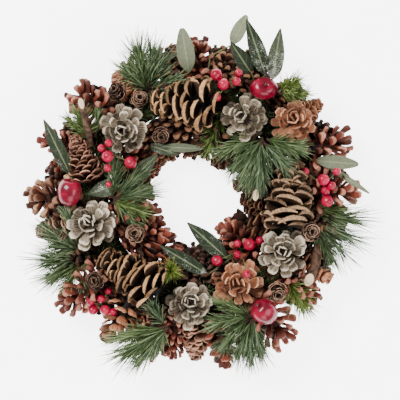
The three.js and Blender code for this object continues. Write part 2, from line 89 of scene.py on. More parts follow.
TINT = ("ShaderNodeMix", {"data_type": "RGBA", "clamp_result": True, "blend_type": "MULTIPLY"}, (0, 6, 7), 2)
BUMP = ("ShaderNodeBump", {}, ("Height", "Distance", "Strength"), 0)


def srgb(code):
    """A linear colour with alpha from an sRGB hex value."""
    parts = [int(code[k:k + 2], 16) / 255 for k in (1, 3, 5)]
    return (*(p / 12.92 if p <= 0.04045 else ((p + 0.055) / 1.055) ** 2.4 for p in parts), 1)


def colour_of(value):
    """A linear colour with alpha, from an sRGB hex value or the name of one of the add-on's settings."""
    if value.startswith("#"):
        return srgb(value)
    group = next(group for group, kind in SETTINGS.items() if value in kind.__annotations__)
    return (*getattr(getattr(bpy.context.scene, group), value), 1)


def add_node(tree, kind, *inputs, **settings):
    """Adds a node of one of the kinds above and gives its output. Each input is a number, a colour as a
    hex value or a setting's name, or another node's output."""
    name, kind_settings, sockets, output = kind
    node = tree.nodes.new(name)
    for setting, value in {**kind_settings, **settings}.items():
        setattr(node, setting, value)
    for socket, value in zip(sockets, inputs):
        if isinstance(value, bpy.types.NodeSocket):
            tree.links.new(value, node.inputs[socket])
        else:
            node.inputs[socket].default_value = colour_of(value) if isinstance(value, str) else value
    return node.outputs[output]


def new_material(name, roughness, **values):
    """A material, its surface shader with more values of its sockets, and add_node for its node tree."""
    material = bpy.data.materials.new(name)
    material.use_nodes = True
    surface = material.node_tree.nodes["Principled BSDF"]
    surface.inputs["Roughness"].default_value = roughness
    surface.inputs["Specular IOR Level"].default_value = GLOSS
    for socket, value in values.items():
        surface.inputs[socket.replace("_", " ").title()].default_value = value
    return material, surface, partial(add_node, material.node_tree)


def finish_surface(add, surface, colour, height=None, depth_mm=0.3, strength=0.6):
    """Links a colour, and a height for the bump, to the surface shader."""
    links = surface.id_data.links
    links.new(colour, surface.inputs["Base Color"])
    if height is not None:
        links.new(add(BUMP, height, depth_mm * MM, strength), surface.inputs["Normal"])


# Materials

STREAK_FINENESS = 8  # how much finer the streaks on a scale are across it than along it
STREAK_SPREAD = 60  # how far the scales' streaks are spread through the noise, so that they differ


def grain(add, size_mm, detail):
    """Noise on object coordinates, its scale set by the size of its spots in millimetres."""
    return add(NOISE, add(PLACE), 1 / (size_mm * MM), detail)


def streaks(add):
    """Noise drawn out along each scale, from the scale's own marks, and coarser than its real fibres so
    that it shows."""
    across, along, tint = (add(MARK, attribute_name=key) for key in ("across", "along", "tint"))
    place = add(VECTOR, add(PRODUCT, across, STREAK_FINENESS), along, add(PRODUCT, tint, STREAK_SPREAD))
    return add(NOISE, place, 1.6, 4)


def scale_material(name, root, face, lip, band, roughness, tint_share=0.0, reach=(0.2, 0.8), dusting=0.0):
    """A dried cone scale: dark at its root, partly the scale's own darker base and partly painted shade
    where the scales overlap, its face in the middle, and its weathered free edge. band says how worn a place
    is where the edge's colour sets in and where it is full, and reach where along the scale the face's
    colour does, ending the painted shade. tint_share says how much further the edge's colour spreads over
    some scales than over others, and dusting how much of it lies on the face in streaks."""
    material, surface, add = new_material(name, roughness)
    edge, along, tint, frost = (add(MARK, attribute_name=key) for key in ("edge", "along", "tint", "frost"))
    fibres = streaks(add)
    crust = grain(add, 1.6, 5)
    # Along each scale the root's dark colour gives way to the face. That dark colour is partly the scale's
    # own darker base and partly painted shade between the overlapping scales.
    reached = add(SUM, along, add(PRODUCT, fibres, 0.4))
    body = add(MIX, add(STEP, reached, *reach), root, face)
    worn = add(SUM, add(PRODUCT, edge, 0.75), add(PRODUCT, crust, 0.5))
    spread = add(SUM, add(PRODUCT, tint, tint_share), add(PRODUCT, frost, 0.5))
    worn = add(SUM, worn, add(PRODUCT, spread, along))
    if dusting:
        powder = add(PRODUCT, add(STEP, fibres, 0.44, 0.64), add(PRODUCT, along, dusting))
        body = add(MIX, powder, body, lip)
    colour = add(MIX, add(STEP, worn, *band), body, lip)
    shade = add(SUM, add(PRODUCT, tint, 0.5), add(PRODUCT, fibres, 0.6))
    shadow = add(MIX, add(STEP, shade, 0.15, 0.8), "#625750", "#ffffff")
    colour = add(TINT, 1.0, colour, shadow)
    finish_surface(add, surface, colour, add(SUM, fibres, crust), 0.4, 0.6)
    return material


def needle_material():
    """Moulded soft plastic needles: satin, some dusted with frost all along and others at their tips."""
    material, surface, add = new_material("Satin moulded pine needles", 0.5)
    tint, along, fresh = (add(MARK, attribute_name=key) for key in ("tint", "along", "fresh"))
    cool = add(MIX, tint, "#16240f", "needle_green")
    warm = add(MIX, tint, "#263c0a", "fresh_green")
    body = add(MIX, fresh, cool, warm)
    tip = add(MIX, fresh, "#8f9f7c", "#a2b060")
    pale = add(PRODUCT, add(STEP, along, 0.5, 1.1), add(SUM, add(PRODUCT, tint, 0.7), 0.1))
    pale = add(SUM, pale, add(PRODUCT, add(STEP, tint, 0.72, 1.0), 0.55))
    finish_surface(add, surface, add(MIX, pale, body, tip))
    return material


def leaf_material():
    """Printed cloth leaves: matte, a pale midrib and side veins, and flocked frost in specks."""
    material, surface, add = new_material("Matte cloth leaf with flocked frost", 0.6)
    marks = ("across", "along", "pale", "frost")
    across, along, pale, frost = (add(MARK, attribute_name=key) for key in marks)
    mottle = grain(add, 2.5, 4)
    body = add(MIX, mottle, "#0f180b", "leaf_green")
    faded = add(MIX, mottle, "#5e664c", "pale_leaf")
    colour = add(MIX, pale, body, faded)
    rib = add(DIFFERENCE, 1.0, add(STEP, across, 0.02, 0.14))
    lean = add(DIFFERENCE, add(PRODUCT, along, 9.0), add(PRODUCT, across, 2.2))
    vein = add(STEP, add(ZIGZAG, lean, 1.0), 0.85, 1.0)
    colour = add(MIX, add(PRODUCT, vein, 0.12), colour, "#98a17c")
    colour = add(MIX, add(PRODUCT, rib, 0.45), colour, "#8f9a70")
    specks = add(SUM, add(PRODUCT, grain(add, 1.1, 4), 0.6), add(PRODUCT, grain(add, 7, 2), 0.4))
    brushed = add(PRODUCT, frost, add(DIFFERENCE, 1.1, along))
    flock = add(STEP, add(SUM, specks, add(PRODUCT, brushed, 0.24)), 0.62, 0.76)
    colour = add(MIX, add(PRODUCT, flock, 0.6), colour, "#c9cec2")
    finish_surface(add, surface, colour, add(SUM, rib, mottle), 0.3, 0.5)
    return material


def bark_material(name, dark, light, fibre_mm, roughness):
    """Rough bark with fibres and larger patches."""
    material, surface, add = new_material(name, roughness)
    fibres = grain(add, fibre_mm, 6)
    patches = grain(add, 4 * fibre_mm, 2)
    blend = add(SUM, add(PRODUCT, fibres, 0.6), add(PRODUCT, patches, 0.4))
    colour = add(MIX, add(STEP, blend, 0.35, 0.65), dark, light)
    finish_surface(add, surface, colour, fibres, 1.0, 0.9)
    return material


def fruit_material(name, deep, bright, roughness, frost_share):
    """Lacquered fruit: a deep red skin under a clear coat, with specks of flocked frost."""
    material, surface, add = new_material(name, roughness, coat_weight=0.35, coat_roughness=0.05)
    patches = grain(add, 9, 2)
    colour = add(MIX, add(STEP, patches, 0.35, 0.7), deep, bright)
    specks = add(STEP, grain(add, 0.9, 3), 0.84 - 0.12 * frost_share, 0.95 - 0.12 * frost_share)
    colour = add(MIX, add(PRODUCT, specks, 0.4), colour, "#e8b4bc")
    finish_surface(add, surface, colour, patches, 0.2, 0.3)
    return material


def plain_material(name, dark, light, size_mm, roughness):
    """A plain matte surface with a little mottling."""
    material, surface, add = new_material(name, roughness)
    spots = grain(add, size_mm, 4)
    finish_surface(add, surface, add(MIX, spots, dark, light), spots, 0.2, 0.4)
    return material


# For each finish of a cone's scales: the material's name, the colours of the scale's root, face and free
# edge, the band of wear, the roughness, and what else the material takes. A colour is a hex value or the
# name of a setting.
# The roots' dark colours are partly the scales' own darker bases and partly painted shade between the
# overlapping scales.
SCALE_FINISHES = {
    # Open scales sprayed with matte off-white paint, which sits thickest on their free edges.
    "frosted": ("Dried pine scale, dusted with matte paint", "#120d08", "#786853", "frost_paint",
                (1.1, 1.6), 0.9, 0.45, (0.25, 0.9), 0.75),
    # Bleached orange-brown scales, with a silky sheen and pale worn edges.
    "brown": ("Dried pine scale, orange brown", "#1e0a06", "brown_scale", "#e2b898",
              (1.15, 1.65), 0.55, 0.4, (0.25, 0.9), 0.5),
    # Broad scales with golden weathered lips, nearly black inside: partly their own dark brown and partly
    # painted shade between them.
    "tan": ("Dried pine scale with weathered golden lip", "#0b0603", "#3c2920", "golden_lip",
            (0.78, 1.1), 0.65),
    # The same kind of scale, its lips bleached to a greyer tan.
    "pale_tan": ("Dried pine scale with bleached tan lip", "#0b0603", "#443021", "#c9a079",
                 (0.84, 1.12), 0.7),
    # Finger scales, red brown with a dull sheen.
    "red": ("Dried pine scale, red brown", "#2e110b", "red_scale", "#b47e68",
            (0.95, 1.5), 0.6, 0.3, (0.1, 0.8)),
    # The same scales weathered to grey brown.
    "dark": ("Dried pine scale, grey brown", "#1a0e08", "#46281a", "#91694c",
             (0.9, 1.5), 0.75, 0.3, (0.1, 0.8)),
    # Scales with bleached golden tips.
    "golden": ("Dried pine scale with golden tip", "#301109", "#6b3b28", "#c49a76",
               (0.85, 1.4), 0.6, 0.3, (0.1, 0.8)),
    # Scales deep between the others, painted darker as the shade that the cones above them cast.
    "deep": ("Dried pine scale, dark brown", "#0c0604", "#2c1810", "#5c4032",
             (0.9, 1.5), 0.75, 0.3, (0.1, 0.8)),
    # Short overlapping scales with thin pale lips.
    "slender": ("Dried pine scale with thin pale lip", "#1c0d08", "#6e402e", "#c09278",
                (0.85, 1.3), 0.65, 0.3, (0.1, 0.8)),
    # Thin papery scales with pale rims.
    "larch": ("Dried larch scale with pale papery rim", "#0e0704", "#352015", "#b8937a",
              (0.96, 1.4), 0.7, 0.2),
}
# For each other finish: the function that makes it, and what that takes.
OTHER_FINISHES = {
    "needles": (needle_material,),
    "leaf": (leaf_material,),
    # Peeling vine stems, matte and fibrous.
    "vine": (bark_material, "Dry vine bark", "#150c06", "#3f2815", 2.5, 0.85),
    # Smooth young bark with a grey bloom.
    "twig": (bark_material, "Young twig bark", "#2a1a14", "#644a3a", 4, 0.8),
    # Sawn end grain, dry and pale.
    "cut": (plain_material, "Sawn end grain", "#cfae80", "#f0dcb8", 1.2, 0.8),
    # Glossy lacquer over a moulded core, with a dusting of frost.
    "apple": (fruit_material, "Lacquered crimson skin", "#5c0319", "apple_skin", 0.28, 0.2),
    # The same lacquer a little duller, with more frost.
    "berry": (fruit_material, "Lacquered raspberry skin", "#860024", "berry_skin", 0.3, 0.3),
    # Paper-wrapped wire, matte and softly mottled.
    "stalk": (plain_material, "Paper-wrapped wire stalk", "#3f4a2b", "#6c6c46", 2, 0.8),
    # The same in brown on the pine stems.
    "stem": (plain_material, "Paper-wrapped pine stem", "#261c15", "#47362a", 2, 0.85),
}
MADE = {}


def material_of(key):
    """The finished material of a key, made once."""
    if key not in MADE:
        maker, *values = OTHER_FINISHES.get(key) or (scale_material, *SCALE_FINISHES[key])
        MADE[key] = maker(*values)
    return MADE[key]


# Modelling in edit mode

AWAY = 10  # how far moved rows are set aside, so that no later test finds them
INNER_LINE = 0.25  # where a grid has its inner long lines, to both sides of its middle
EDGE_START = 0.75  # where the marks of a free edge begin, along a scale


def deselect():
    """Leaves edit mode and selects nothing."""
    if bpy.context.object and bpy.context.object.mode == "EDIT":
        bpy.ops.object.mode_set(mode="OBJECT")
    bpy.ops.object.select_all(action="DESELECT")


def pull(test, move=(0, 0, 0), scale=(1, 1, 1), about=(0, 0, 0)):
    """Scales about a point, then moves, the points of the mesh in edit mode that pass a test."""
    mesh = bpy.context.object.data
    points = bmesh.from_edit_mesh(mesh)
    for vertex in points.verts:
        vertex.select = test(vertex.co)
    points.select_flush_mode()
    bmesh.update_edit_mesh(mesh)
    bpy.ops.transform.resize(value=scale, center_override=about)
    bpy.ops.transform.translate(value=move)


def near(value, target):
    """True where a coordinate is at a place on a grid."""
    return abs(value - target) < 0.01


def smooth(value, low, high):
    """A smooth step from 0 at low to 1 at high."""
    share = min(max((value - low) / (high - low), 0), 1)
    return share * share * (3 - 2 * share)


class Shape:
    """A modelled shape as points, faces and one value a point for each of its marks."""

    def __init__(self, points, faces, marks):
        self.points = points
        self.faces = faces
        self.marks = marks


def taken(piece, groups=()):
    """The shape of a finished object, with its vertex groups as marks. The object is removed."""
    mesh = piece.data
    points = np.array([v.co for v in mesh.vertices])
    marks = {}
    for name in groups:
        index = piece.vertex_groups[name].index
        marks[name] = np.array([
            next((g.weight for g in v.groups if g.group == index), 0.0) for v in mesh.vertices
        ])
    faces = [tuple(f.vertices) for f in mesh.polygons]
    bpy.data.objects.remove(piece)
    bpy.data.meshes.remove(mesh)
    return Shape(points, faces, marks)


def blade(rows, cup, keel, thickness, lens, levels=0, spread=1.44, inner_cup=0.4):
    """A scale or leaf, one long, from its root at the origin: (along, half width, lift, share of the
    thickness) for each cross row. cup lifts its long edges and keel its midline, and lens says how much
    thinner it is at its sides. spread says how far its inner long lines move out, and inner_cup how much
    of the cup they take."""
    deselect()
    last = len(rows) - 1
    bpy.ops.mesh.primitive_grid_add(x_subdivisions=4, y_subdivisions=last, size=1)
    piece = bpy.context.object
    for name in ("edge", "along", "across", "thick"):
        piece.vertex_groups.new(name=name)
    for vertex in piece.data.vertices:
        across = abs(2 * vertex.co.x)
        along, _, _, share = rows[round((vertex.co.y + 0.5) * last)]
        side = smooth(across, 0.6, 1) * smooth(along, 0.3, EDGE_START)
        values = {
            "edge": max(smooth(along, EDGE_START, 1), side),
            "along": along,
            "across": across,
            "thick": share * (1 - lens * across * across),
        }
        for name, value in values.items():
            piece.vertex_groups[name].add([vertex.index], value, "REPLACE")
    bpy.ops.object.mode_set(mode="EDIT")
    pull(lambda co: near(abs(co.x), INNER_LINE), move=(0, 0, inner_cup * cup), scale=(spread, 1, 1))
    pull(lambda co: near(abs(co.x), 0.5), move=(0, 0, cup))
    pull(lambda co: near(co.x, 0) and co.y > 0.1, move=(0, 0, keel))
    for row, (along, half, lift, _) in enumerate(rows):
        start = row / last - 0.5
        offset = (0, along + AWAY - start, lift)
        pull(lambda co: near(co.y, start), move=offset, scale=(2 * half, 1, 2 * half), about=(0, start, 0))
    pull(lambda co: True, move=(0, -AWAY, 0))
    bpy.ops.object.mode_set(mode="OBJECT")
    solid = piece.modifiers.new("Thickness", "SOLIDIFY")
    solid.thickness = thickness
    solid.offset = 0
    solid.vertex_group = "thick"
    solid.thickness_vertex_group = 0.1
    bpy.ops.object.modifier_apply(modifier=solid.name)
    if levels:
        finer = piece.modifiers.new("Smoothing", "SUBSURF")
        finer.levels = finer.render_levels = levels
        bpy.ops.object.modifier_apply(modifier=finer.name)
    return taken(piece, ("edge", "along", "across"))


def ball(rings, segments, profile, lobes=0, depth=0):
    """A round body about the origin, one across and one high, from a ball whose level rings are moved to
    (height, radius) rows. Its sides can be pulled in between lobes."""
    deselect()
    bpy.ops.mesh.primitive_uv_sphere_add(segments=segments, ring_count=rings, radius=0.5)
    piece = bpy.context.object
    bpy.ops.object.mode_set(mode="EDIT")
    levels = sorted({round(v.co.z, 5) for v in piece.data.vertices})
    heights, radii = zip(*profile)
    for place, level in enumerate(levels):
        share = place / (len(levels) - 1)
        height = float(np.interp(share, np.linspace(0, 1, len(heights)), heights))
        radius = float(np.interp(share, np.linspace(0, 1, len(radii)), radii))
        old = math.sqrt(max(0.25 - level * level, 1e-6))
        spread = radius / old if 0 < place < len(levels) - 1 else 1
        pull(lambda co: near(co.z, level), move=(0, 0, height - level + AWAY), scale=(spread, spread, 1))
    pull(lambda co: True, move=(0, 0, -AWAY))
    for turn in range(lobes):
        heading = 2 * math.pi * (turn + 0.5) / lobes
        middle = heading_vector(heading).xy
        width = math.cos(math.pi / lobes / 1.6)
        pull(lambda co: co.xy.length > 0.1 and co.xy.normalized().dot(middle) > width,
             scale=(1 - depth, 1 - depth, 1))
    bpy.ops.object.mode_set(mode="OBJECT")
    finer = piece.modifiers.new("Smoothing", "SUBSURF")
    finer.levels = finer.render_levels = 1
    bpy.ops.object.modifier_apply(modifier=finer.name)
    shape = taken(piece)
    low, high = shape.points.min(0), shape.points.max(0)
    shape.points = (shape.points - 0.5 * (low + high)) / (high - low)
    return shape


ROD_SHAPES = {}


def straight_rod(sides, rings):
    """A closed rod one high and one in radius, modelled once for each count of sides and rings."""
    if (sides, rings) not in ROD_SHAPES:
        deselect()
        bpy.ops.mesh.primitive_cylinder_add(vertices=sides, radius=1, depth=1)
        piece = bpy.context.object
        bpy.ops.object.mode_set(mode="EDIT")
        bpy.ops.mesh.select_mode(type="EDGE")
        lines = bmesh.from_edit_mesh(piece.data)
        for edge in lines.edges:
            edge.select_set(abs(edge.verts[0].co.z - edge.verts[1].co.z) > 0.5)
        bmesh.update_edit_mesh(piece.data)
        bpy.ops.mesh.subdivide(number_cuts=rings - 2)
        bpy.ops.mesh.select_mode(type="VERT")
        bpy.ops.object.mode_set(mode="OBJECT")
        ROD_SHAPES[sides, rings] = taken(piece)
    return ROD_SHAPES[sides, rings]


def rod(points, radii, sides=6, lump=0.0, seed=0, slants=None):
    """A round stem along points, with a radius at each, closed at both ends. A slant tilts a ring
    so that its upper side lies back."""
    points = [Vector(p) for p in points]
    shape = straight_rod(sides, max(len(points), 3))
    if len(points) == 2:
        points.insert(1, points[0].lerp(points[1], 0.5))
    draw = random.Random(seed)
    last = len(points) - 1
    turns, side = [], None
    for k in range(len(points)):
        along = (points[min(k + 1, last)] - points[max(k - 1, 0)]).normalized()
        side = along.cross(UP) if side is None else side - along * side.dot(along)
        if side.length < 1e-4:
            side = along.cross(Vector((1, 0.2, 0.1)))
        side.normalize()
        turns.append((side, along.cross(side), along))
    corners, shares = [], []
    for x, y, z in shape.points:
        k = round((z + 0.5) * last)
        side, other, along = turns[k]
        reach = radii[min(k, len(radii) - 1)] * (1 + lump * (draw.random() - 0.5))
        offset = (side * x + other * y) * reach
        slant = slants[k] if slants else 0
        corners.append(points[k] + offset - along * offset.z * slant)
        shares.append(k / last)
    return Shape(np.array(corners), shape.faces, {"along": np.array(shares)})


class Heap:
    """Gathers copies of small shapes for one mesh, each with its place and its own values."""

    def __init__(self):
        self.points, self.faces, self.marks, self.count = [], [], {}, 0

    def add(self, shape, place=None, **values):
        """Adds a copy of a shape. Its marks, and one value for each given name, go with it."""
        points = shape.points
        if place is not None:
            turn = np.array(place.to_3x3())
            points = points @ turn.T + np.array(place.to_translation())
        self.faces.extend(tuple(k + self.count for k in face) for face in shape.faces)
        self.points.append(points)
        size = len(points)
        marks = {**shape.marks, **{name: np.full(size, value) for name, value in values.items()}}
        for name, numbers in marks.items():
            column = self.marks.setdefault(name, [np.zeros(self.count)] if self.count else [])
            column.append(numbers)
        for name, column in self.marks.items():
            if name not in marks:
                column.append(np.zeros(size))
        self.count += size

    def all_points(self):
        """The points of all the copies."""
        return np.concatenate(self.points)

    def box(self):
        """The lowest and the highest corner of the copies."""
        points = self.all_points()
        return points.min(0), points.max(0)

    def middle(self):
        """The middle of the box of the copies."""
        low, high = self.box()
        return 0.5 * (low + high)

    def move(self, offset):
        """Moves all the copies."""
        self.points = [self.all_points() + offset]

    def stretch(self, ratio):
        """Scales all the copies about the middle of their box."""
        middle = self.middle()
        self.points = [middle + (self.all_points() - middle) * ratio]

    def fit(self, node, scale_limit=0.0):
        """Moves the copies until the middle of their box is that of a node's box, and scales them
        towards its size within a limit."""
        low, high = (np.array(corner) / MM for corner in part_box(node))
        own_low, own_high = self.box()
        self.stretch(np.clip((high - low) / (own_high - own_low), 1 - scale_limit, 1 + scale_limit))
        self.move(0.5 * (low + high) - self.middle())

    def lift_off_wall(self):
        """Raises the copies until none reaches behind the wreath's back."""
        self.move((0, 0, max(WALL_GAP - self.box()[0][2], 0)))

    def piece(self, name, material, slot, nodes=(), sharp=110):
        """Makes one finished piece of the copies, in metres, riding on the part."""
        mesh = bpy.data.meshes.new(name)
        mesh.from_pydata((self.all_points() * MM).tolist(), [], self.faces)
        for mark_name, columns in self.marks.items():
            attribute = mesh.attributes.new(mark_name, "FLOAT", "POINT")
            attribute.data.foreach_set("value", np.concatenate(columns).astype(np.float32))
        mesh.polygons.foreach_set("use_smooth", np.ones(len(mesh.polygons), bool))
        mesh.set_sharp_from_angle(angle=math.radians(sharp))
        mesh.materials.append(material_of(material))
        piece = bpy.data.objects.new(name, mesh)
        bpy.context.scene.collection.objects.link(piece)
        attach(piece, "root")
        if nodes:
            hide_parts(*nodes)


def axes(across, along, up, size, root):
    """A place from three axes, scaled by width, length and thickness, and a root."""
    width, length, depth = size
    place = Matrix((across * width, along * length, up * depth)).transposed().to_4x4()
    place.translation = root
    return place


def heading_vector(heading):
    """A level direction, from its heading in radians."""
    return Vector((math.cos(heading), math.sin(heading), 0))


def pointing(direction, spin=0.0):
    """A turn that takes +Z to a direction, after a spin about +Z."""
    turn = UP.rotation_difference(Vector(direction).normalized())
    return turn.to_matrix().to_4x4() @ Matrix.Rotation(spin, 4, "Z")


# Cones

# The outlines of the scales: (along, half width, lift, share of the thickness) for each cross row.
SPOON = [(0, 0.18, 0, 0.5), (0.28, 0.24, -0.04, 0.5), (0.52, 0.38, -0.06, 0.5), (0.74, 0.49, -0.04, 0.65),
         (0.88, 0.46, 0.03, 0.9), (0.96, 0.34, 0.08, 1), (1, 0.16, 0.1, 0.8)]
FINGER = [(0, 0.32, 0, 0.35), (0.3, 0.38, -0.03, 0.45), (0.6, 0.44, -0.04, 0.55), (0.8, 0.5, -0.01, 0.9),
          (0.93, 0.47, 0.05, 1), (1, 0.34, 0.08, 0.75)]
FAN = [(0, 0.16, 0, 0.3), (0.3, 0.27, -0.02, 0.2), (0.6, 0.42, -0.02, 0.22), (0.84, 0.5, 0, 0.5),
       (0.94, 0.46, 0.02, 1), (1, 0.28, 0.03, 0.9)]
PAPER = [(0, 0.3, 0, 1), (0.35, 0.42, -0.06, 1), (0.65, 0.5, -0.06, 1), (0.86, 0.46, 0, 1),
         (0.96, 0.34, 0.05, 0.8), (1, 0.18, 0.08, 0.6)]

# A kind of cone: its scale's rows, the lift of the scale's long edges and of its midline, its thickness
# and how much thinner its sides are, how many scales there are, their width in mm, how far they lean
# towards the cone's tip at its base and at its tip in degrees, how much shorter and how much narrower
# they get, and how unevenly they stand.
ConeKind = namedtuple("ConeKind", "rows cup keel thick lens scales broad lean shrink taper loose")
CONE_KINDS = {
    "rosette": ConeKind(SPOON, 0.1, 0.06, 0.12, 0.5, 36, 10, (-14, 76), 0.6, 0.55, 1.7),
    "large": ConeKind(FAN, -0.2, 0.0, 0.25, 0.85, 44, 27, (6, 62), 0.5, 0.6, 1.4),
    "sliver": ConeKind(FAN, -0.1, 0.0, 0.2, 0.95, 60, 27, (6, 62), 0.45, 0.6, 1.6),
    "thick": ConeKind(FAN, -0.2, 0.0, 0.25, 0.92, 48, 36, (8, 66), 0.5, 0.6, 1.2),
    "finger": ConeKind(FINGER, -0.05, 0.03, 0.3, 0.55, 44, 6.8, (-14, 56), 0.25, 0.2, 1.7),
    "splayed": ConeKind(FINGER, -0.05, 0.03, 0.24, 0.5, 34, 7.4, (-20, 62), 0.15, 0.15, 1.6),
    "fringed": ConeKind(FINGER, -0.05, 0.03, 0.2, 0.5, 84, 4.4, (-12, 62), 0.3, 0.2, 1.6),
    "broad": ConeKind(SPOON, 0.14, 0.05, 0.11, 0.5, 34, 13, (0, 60), 0.4, 0.4, 1.5),
    "tight": ConeKind(FINGER, 0.03, 0.02, 0.28, 0.4, 58, 6.6, (4, 64), 0.4, 0.4, 1.2),
    "hidden": ConeKind(FINGER, -0.05, 0.03, 0.3, 0.5, 34, 8.4, (0, 60), 0.3, 0.2, 1.5),
    "slender": ConeKind(FAN, -0.1, 0.0, 0.09, 0.7, 110, 11, (24, 66), 0.6, 0.7, 1.0),
    "larch": ConeKind(PAPER, 0.2, 0.0, 0.1, 0.3, 40, 7.6, (14, 60), 0.5, 0.9, 1.5),
}
SCALE_SHAPES = {}
CORE_SHARE = 0.12  # the radius of a cone's core, as a share of its width
FIT_LIMIT = 0.12  # how far a cone on the front is scaled towards its solid at most, as a share


def scale_shape(kind):
    """The modelled scale of a kind of cone, made once."""
    if kind not in SCALE_SHAPES:
        SCALE_SHAPES[kind] = blade(*CONE_KINDS[kind][:5])
    return SCALE_SHAPES[kind]


def add_cone(heap, kind, length, width, place, seed, frost=0.0):
    """Adds a cone to a heap, in mm: its core, then its scales in a spiral from the stalk end."""
    plan = CONE_KINDS[kind]
    loose = plan.loose
    draw = random.Random(seed)
    low, high = (math.radians(angle) for angle in plan.lean)
    girth = CORE_SHARE * width
    longest = (0.5 * width - girth) / math.cos(max(low, 0))
    top = length - (1 - plan.shrink) * longest * math.sin(high)
    spine = [(0, 0, top * h) for h in (0, 0.25, 0.5, 0.75, 1)]
    core = rod(spine, [girth * r for r in (0.9, 1.2, 1.1, 0.8, 0.3)], 8)
    # The core takes the scales' dark root colour, which is partly painted shade deep inside the cone.
    core.marks["along"] = core.marks["along"] * 0.2
    heap.add(core, place, tint=0.1, frost=frost)
    shape = scale_shape(kind)
    for i in range(plan.scales):
        t = (i + 0.5) / plan.scales
        # The scales get shorter towards the tip, and the lowest few are short too.
        size = longest * (1 - plan.shrink * t ** 1.5) * (1 - 0.25 * max(0, 1 - 4 * t) ** 2)
        size *= 1 + loose * draw.uniform(-0.08, 0.08)
        lean = low + (high - low) * t ** 1.3 + loose * draw.uniform(-0.12, 0.12)
        heading = i * GOLDEN_ANGLE + loose * draw.uniform(-0.14, 0.14)
        outward = heading_vector(heading)
        along = outward * math.cos(lean) + UP * math.sin(lean)
        level = outward.cross(UP)
        across = (level + along.cross(level) * loose * draw.uniform(-0.2, 0.2)).normalized()
        broad = plan.broad * (size / longest) ** plan.taper * (1 + loose * draw.uniform(-0.12, 0.12))
        foot = outward * girth * (0.8 - 0.6 * t) + UP * top * (0.03 + 0.97 * t)
        turned = place @ axes(across, along, across.cross(along), (broad, size, size), foot)
        heap.add(shape, turned, tint=draw.random(), frost=frost)


def front_cone(name, kind, material, slot, length, width, tip, spin, seed, frost=0.0, spread=1.0):
    """A cone on the front of the wreath, in place of its solid. spread is its width beside the solid's."""
    heap = Heap()
    add_cone(heap, kind, length, width, pointing(tip, spin), seed, frost)
    heap.fit(name, FIT_LIMIT)
    heap.stretch((spread, spread, 1))
    heap.piece(name + "_scales", material, slot, [name])


# For each group, its slot, then each cone's heading in degrees, length, width, kind, finish and frost.
# Those that are tucked in between the others, or lie under them, have no solid of their own.
FLANK_CONES = {
    "outer_cones_north": ("dark_scale", [
        (105, 35, 34, "finger", "dark", 0.6), (89, 41, 42, "finger", "red", 0.3),
        (77, 36, 40, "finger", "dark", 0.6), (68, 41, 38, "finger", "dark", 0.5)]),
    "outer_cones_north_west": ("red_brown_scale", [
        (123, 31, 38, "slender", "brown", 0.1), (139, 45, 54, "finger", "red", 0.2),
        (159, 48, 45, "finger", "red", 0)]),
    "outer_cones_west": ("red_brown_scale", [
        (181, 50, 56, "finger", "golden", 0), (193, 47, 44, "slender", "slender", 0)]),
    "outer_cone_south_west": ("red_brown_scale", [(220, 57, 54, "finger", "red", 0.2)]),
    "outer_cone_south_south_west": ("tan_scale", [(238, 51, 54, "broad", "brown", 0)]),
    "outer_cones_south": ("dark_scale", [
        (253, 53, 46, "fringed", "red", 0.3), (261, 47, 46, "fringed", "red", 0.1),
        (270, 47, 44, "slender", "slender", 0.8), (280, 53, 54, "broad", "red", 0)]),
    "outer_cone_south_east": ("red_brown_scale", [(301.5, 57, 56, "splayed", "red", 0.1)]),
    "outer_cones_east_south_east": ("red_brown_scale", [
        (319, 46, 44, "finger", "red", 0.2), (328, 43, 38, "broad", "brown", 0)]),
    "outer_cone_east": ("tan_scale", [(2, 44, 54, "splayed", "red", 0.3)]),
    "outer_cones_north_east": ("red_brown_scale", [
        (21, 46, 56, "splayed", "red", 0.2), (37, 41, 36, "slender", "brown", 0)]),
    "inner_cone_north": ("dark_scale", [(98, 50, 44, "finger", "dark", 0)]),
    "inner_cone_north_east": ("dark_scale", [(56, 54, 46, "tight", "dark", 0)]),
    "inner_cone_east": ("dark_scale", [(-4, 44, 46, "slender", "dark", 0)]),
    "inner_cone_south_east": ("red_brown_scale", [(-46, 52, 48, "finger", "red", 0)]),
    "inner_cones_south": ("red_brown_scale", [
        (-88, 40, 42, "finger", "deep", 0), (-108, 36, 36, "slender", "red", 0),
        (-125, 46, 42, "broad", "red", 0), (-142, 49, 38, "finger", "red", 0)]),
    "inner_cones_west": ("red_brown_scale", [
        (148, 44, 42, "tight", "red", 0), (164, 41, 38, "tight", "dark", 0),
        (180, 46, 40, "finger", "red", 0), (200, 49, 44, "finger", "red", 0)]),
    "outer_cones_tucked": ("dark_scale", [
        (98, 40, 30, "finger", "dark", 0.7), (50, 34, 36, "tight", "dark", 0),
        (169, 34, 38, "tight", "red", 0), (206, 38, 36, "finger", "deep", 0),
        (229, 36, 40, "finger", "deep", 0),
        (247, 38, 36, "tight", "dark", 0), (291, 38, 36, "tight", "dark", 0),
        (345, 38, 36, "tight", "dark", 0), (12, 34, 34, "tight", "red", 0)]),
    "inner_cones_tucked": ("dark_scale", [
        (120, 46, 40, "tight", "dark", 0), (80, 52, 44, "finger", "deep", 0),
        (38, 46, 40, "tight", "dark", 0), (15, 50, 42, "tight", "dark", 0),
        (-26, 46, 44, "broad", "dark", 0), (-70, 40, 40, "finger", "deep", 0),
        (133, 44, 38, "tight", "dark", 0), (-97, 34, 38, "hidden", "deep", 0)]),
    # The cones under the others take the deep finish, whose dark colours are painted shade.
    "outer_cones_under": ("dark_scale", [
        (18 * turn + 9, 36, 38, "hidden", "deep", 0) for turn in range(20)]),
    "inner_cones_under": ("dark_scale", [
        (24 * turn + 12, 38, 36, "hidden", "deep", 0) for turn in range(15)]),
}

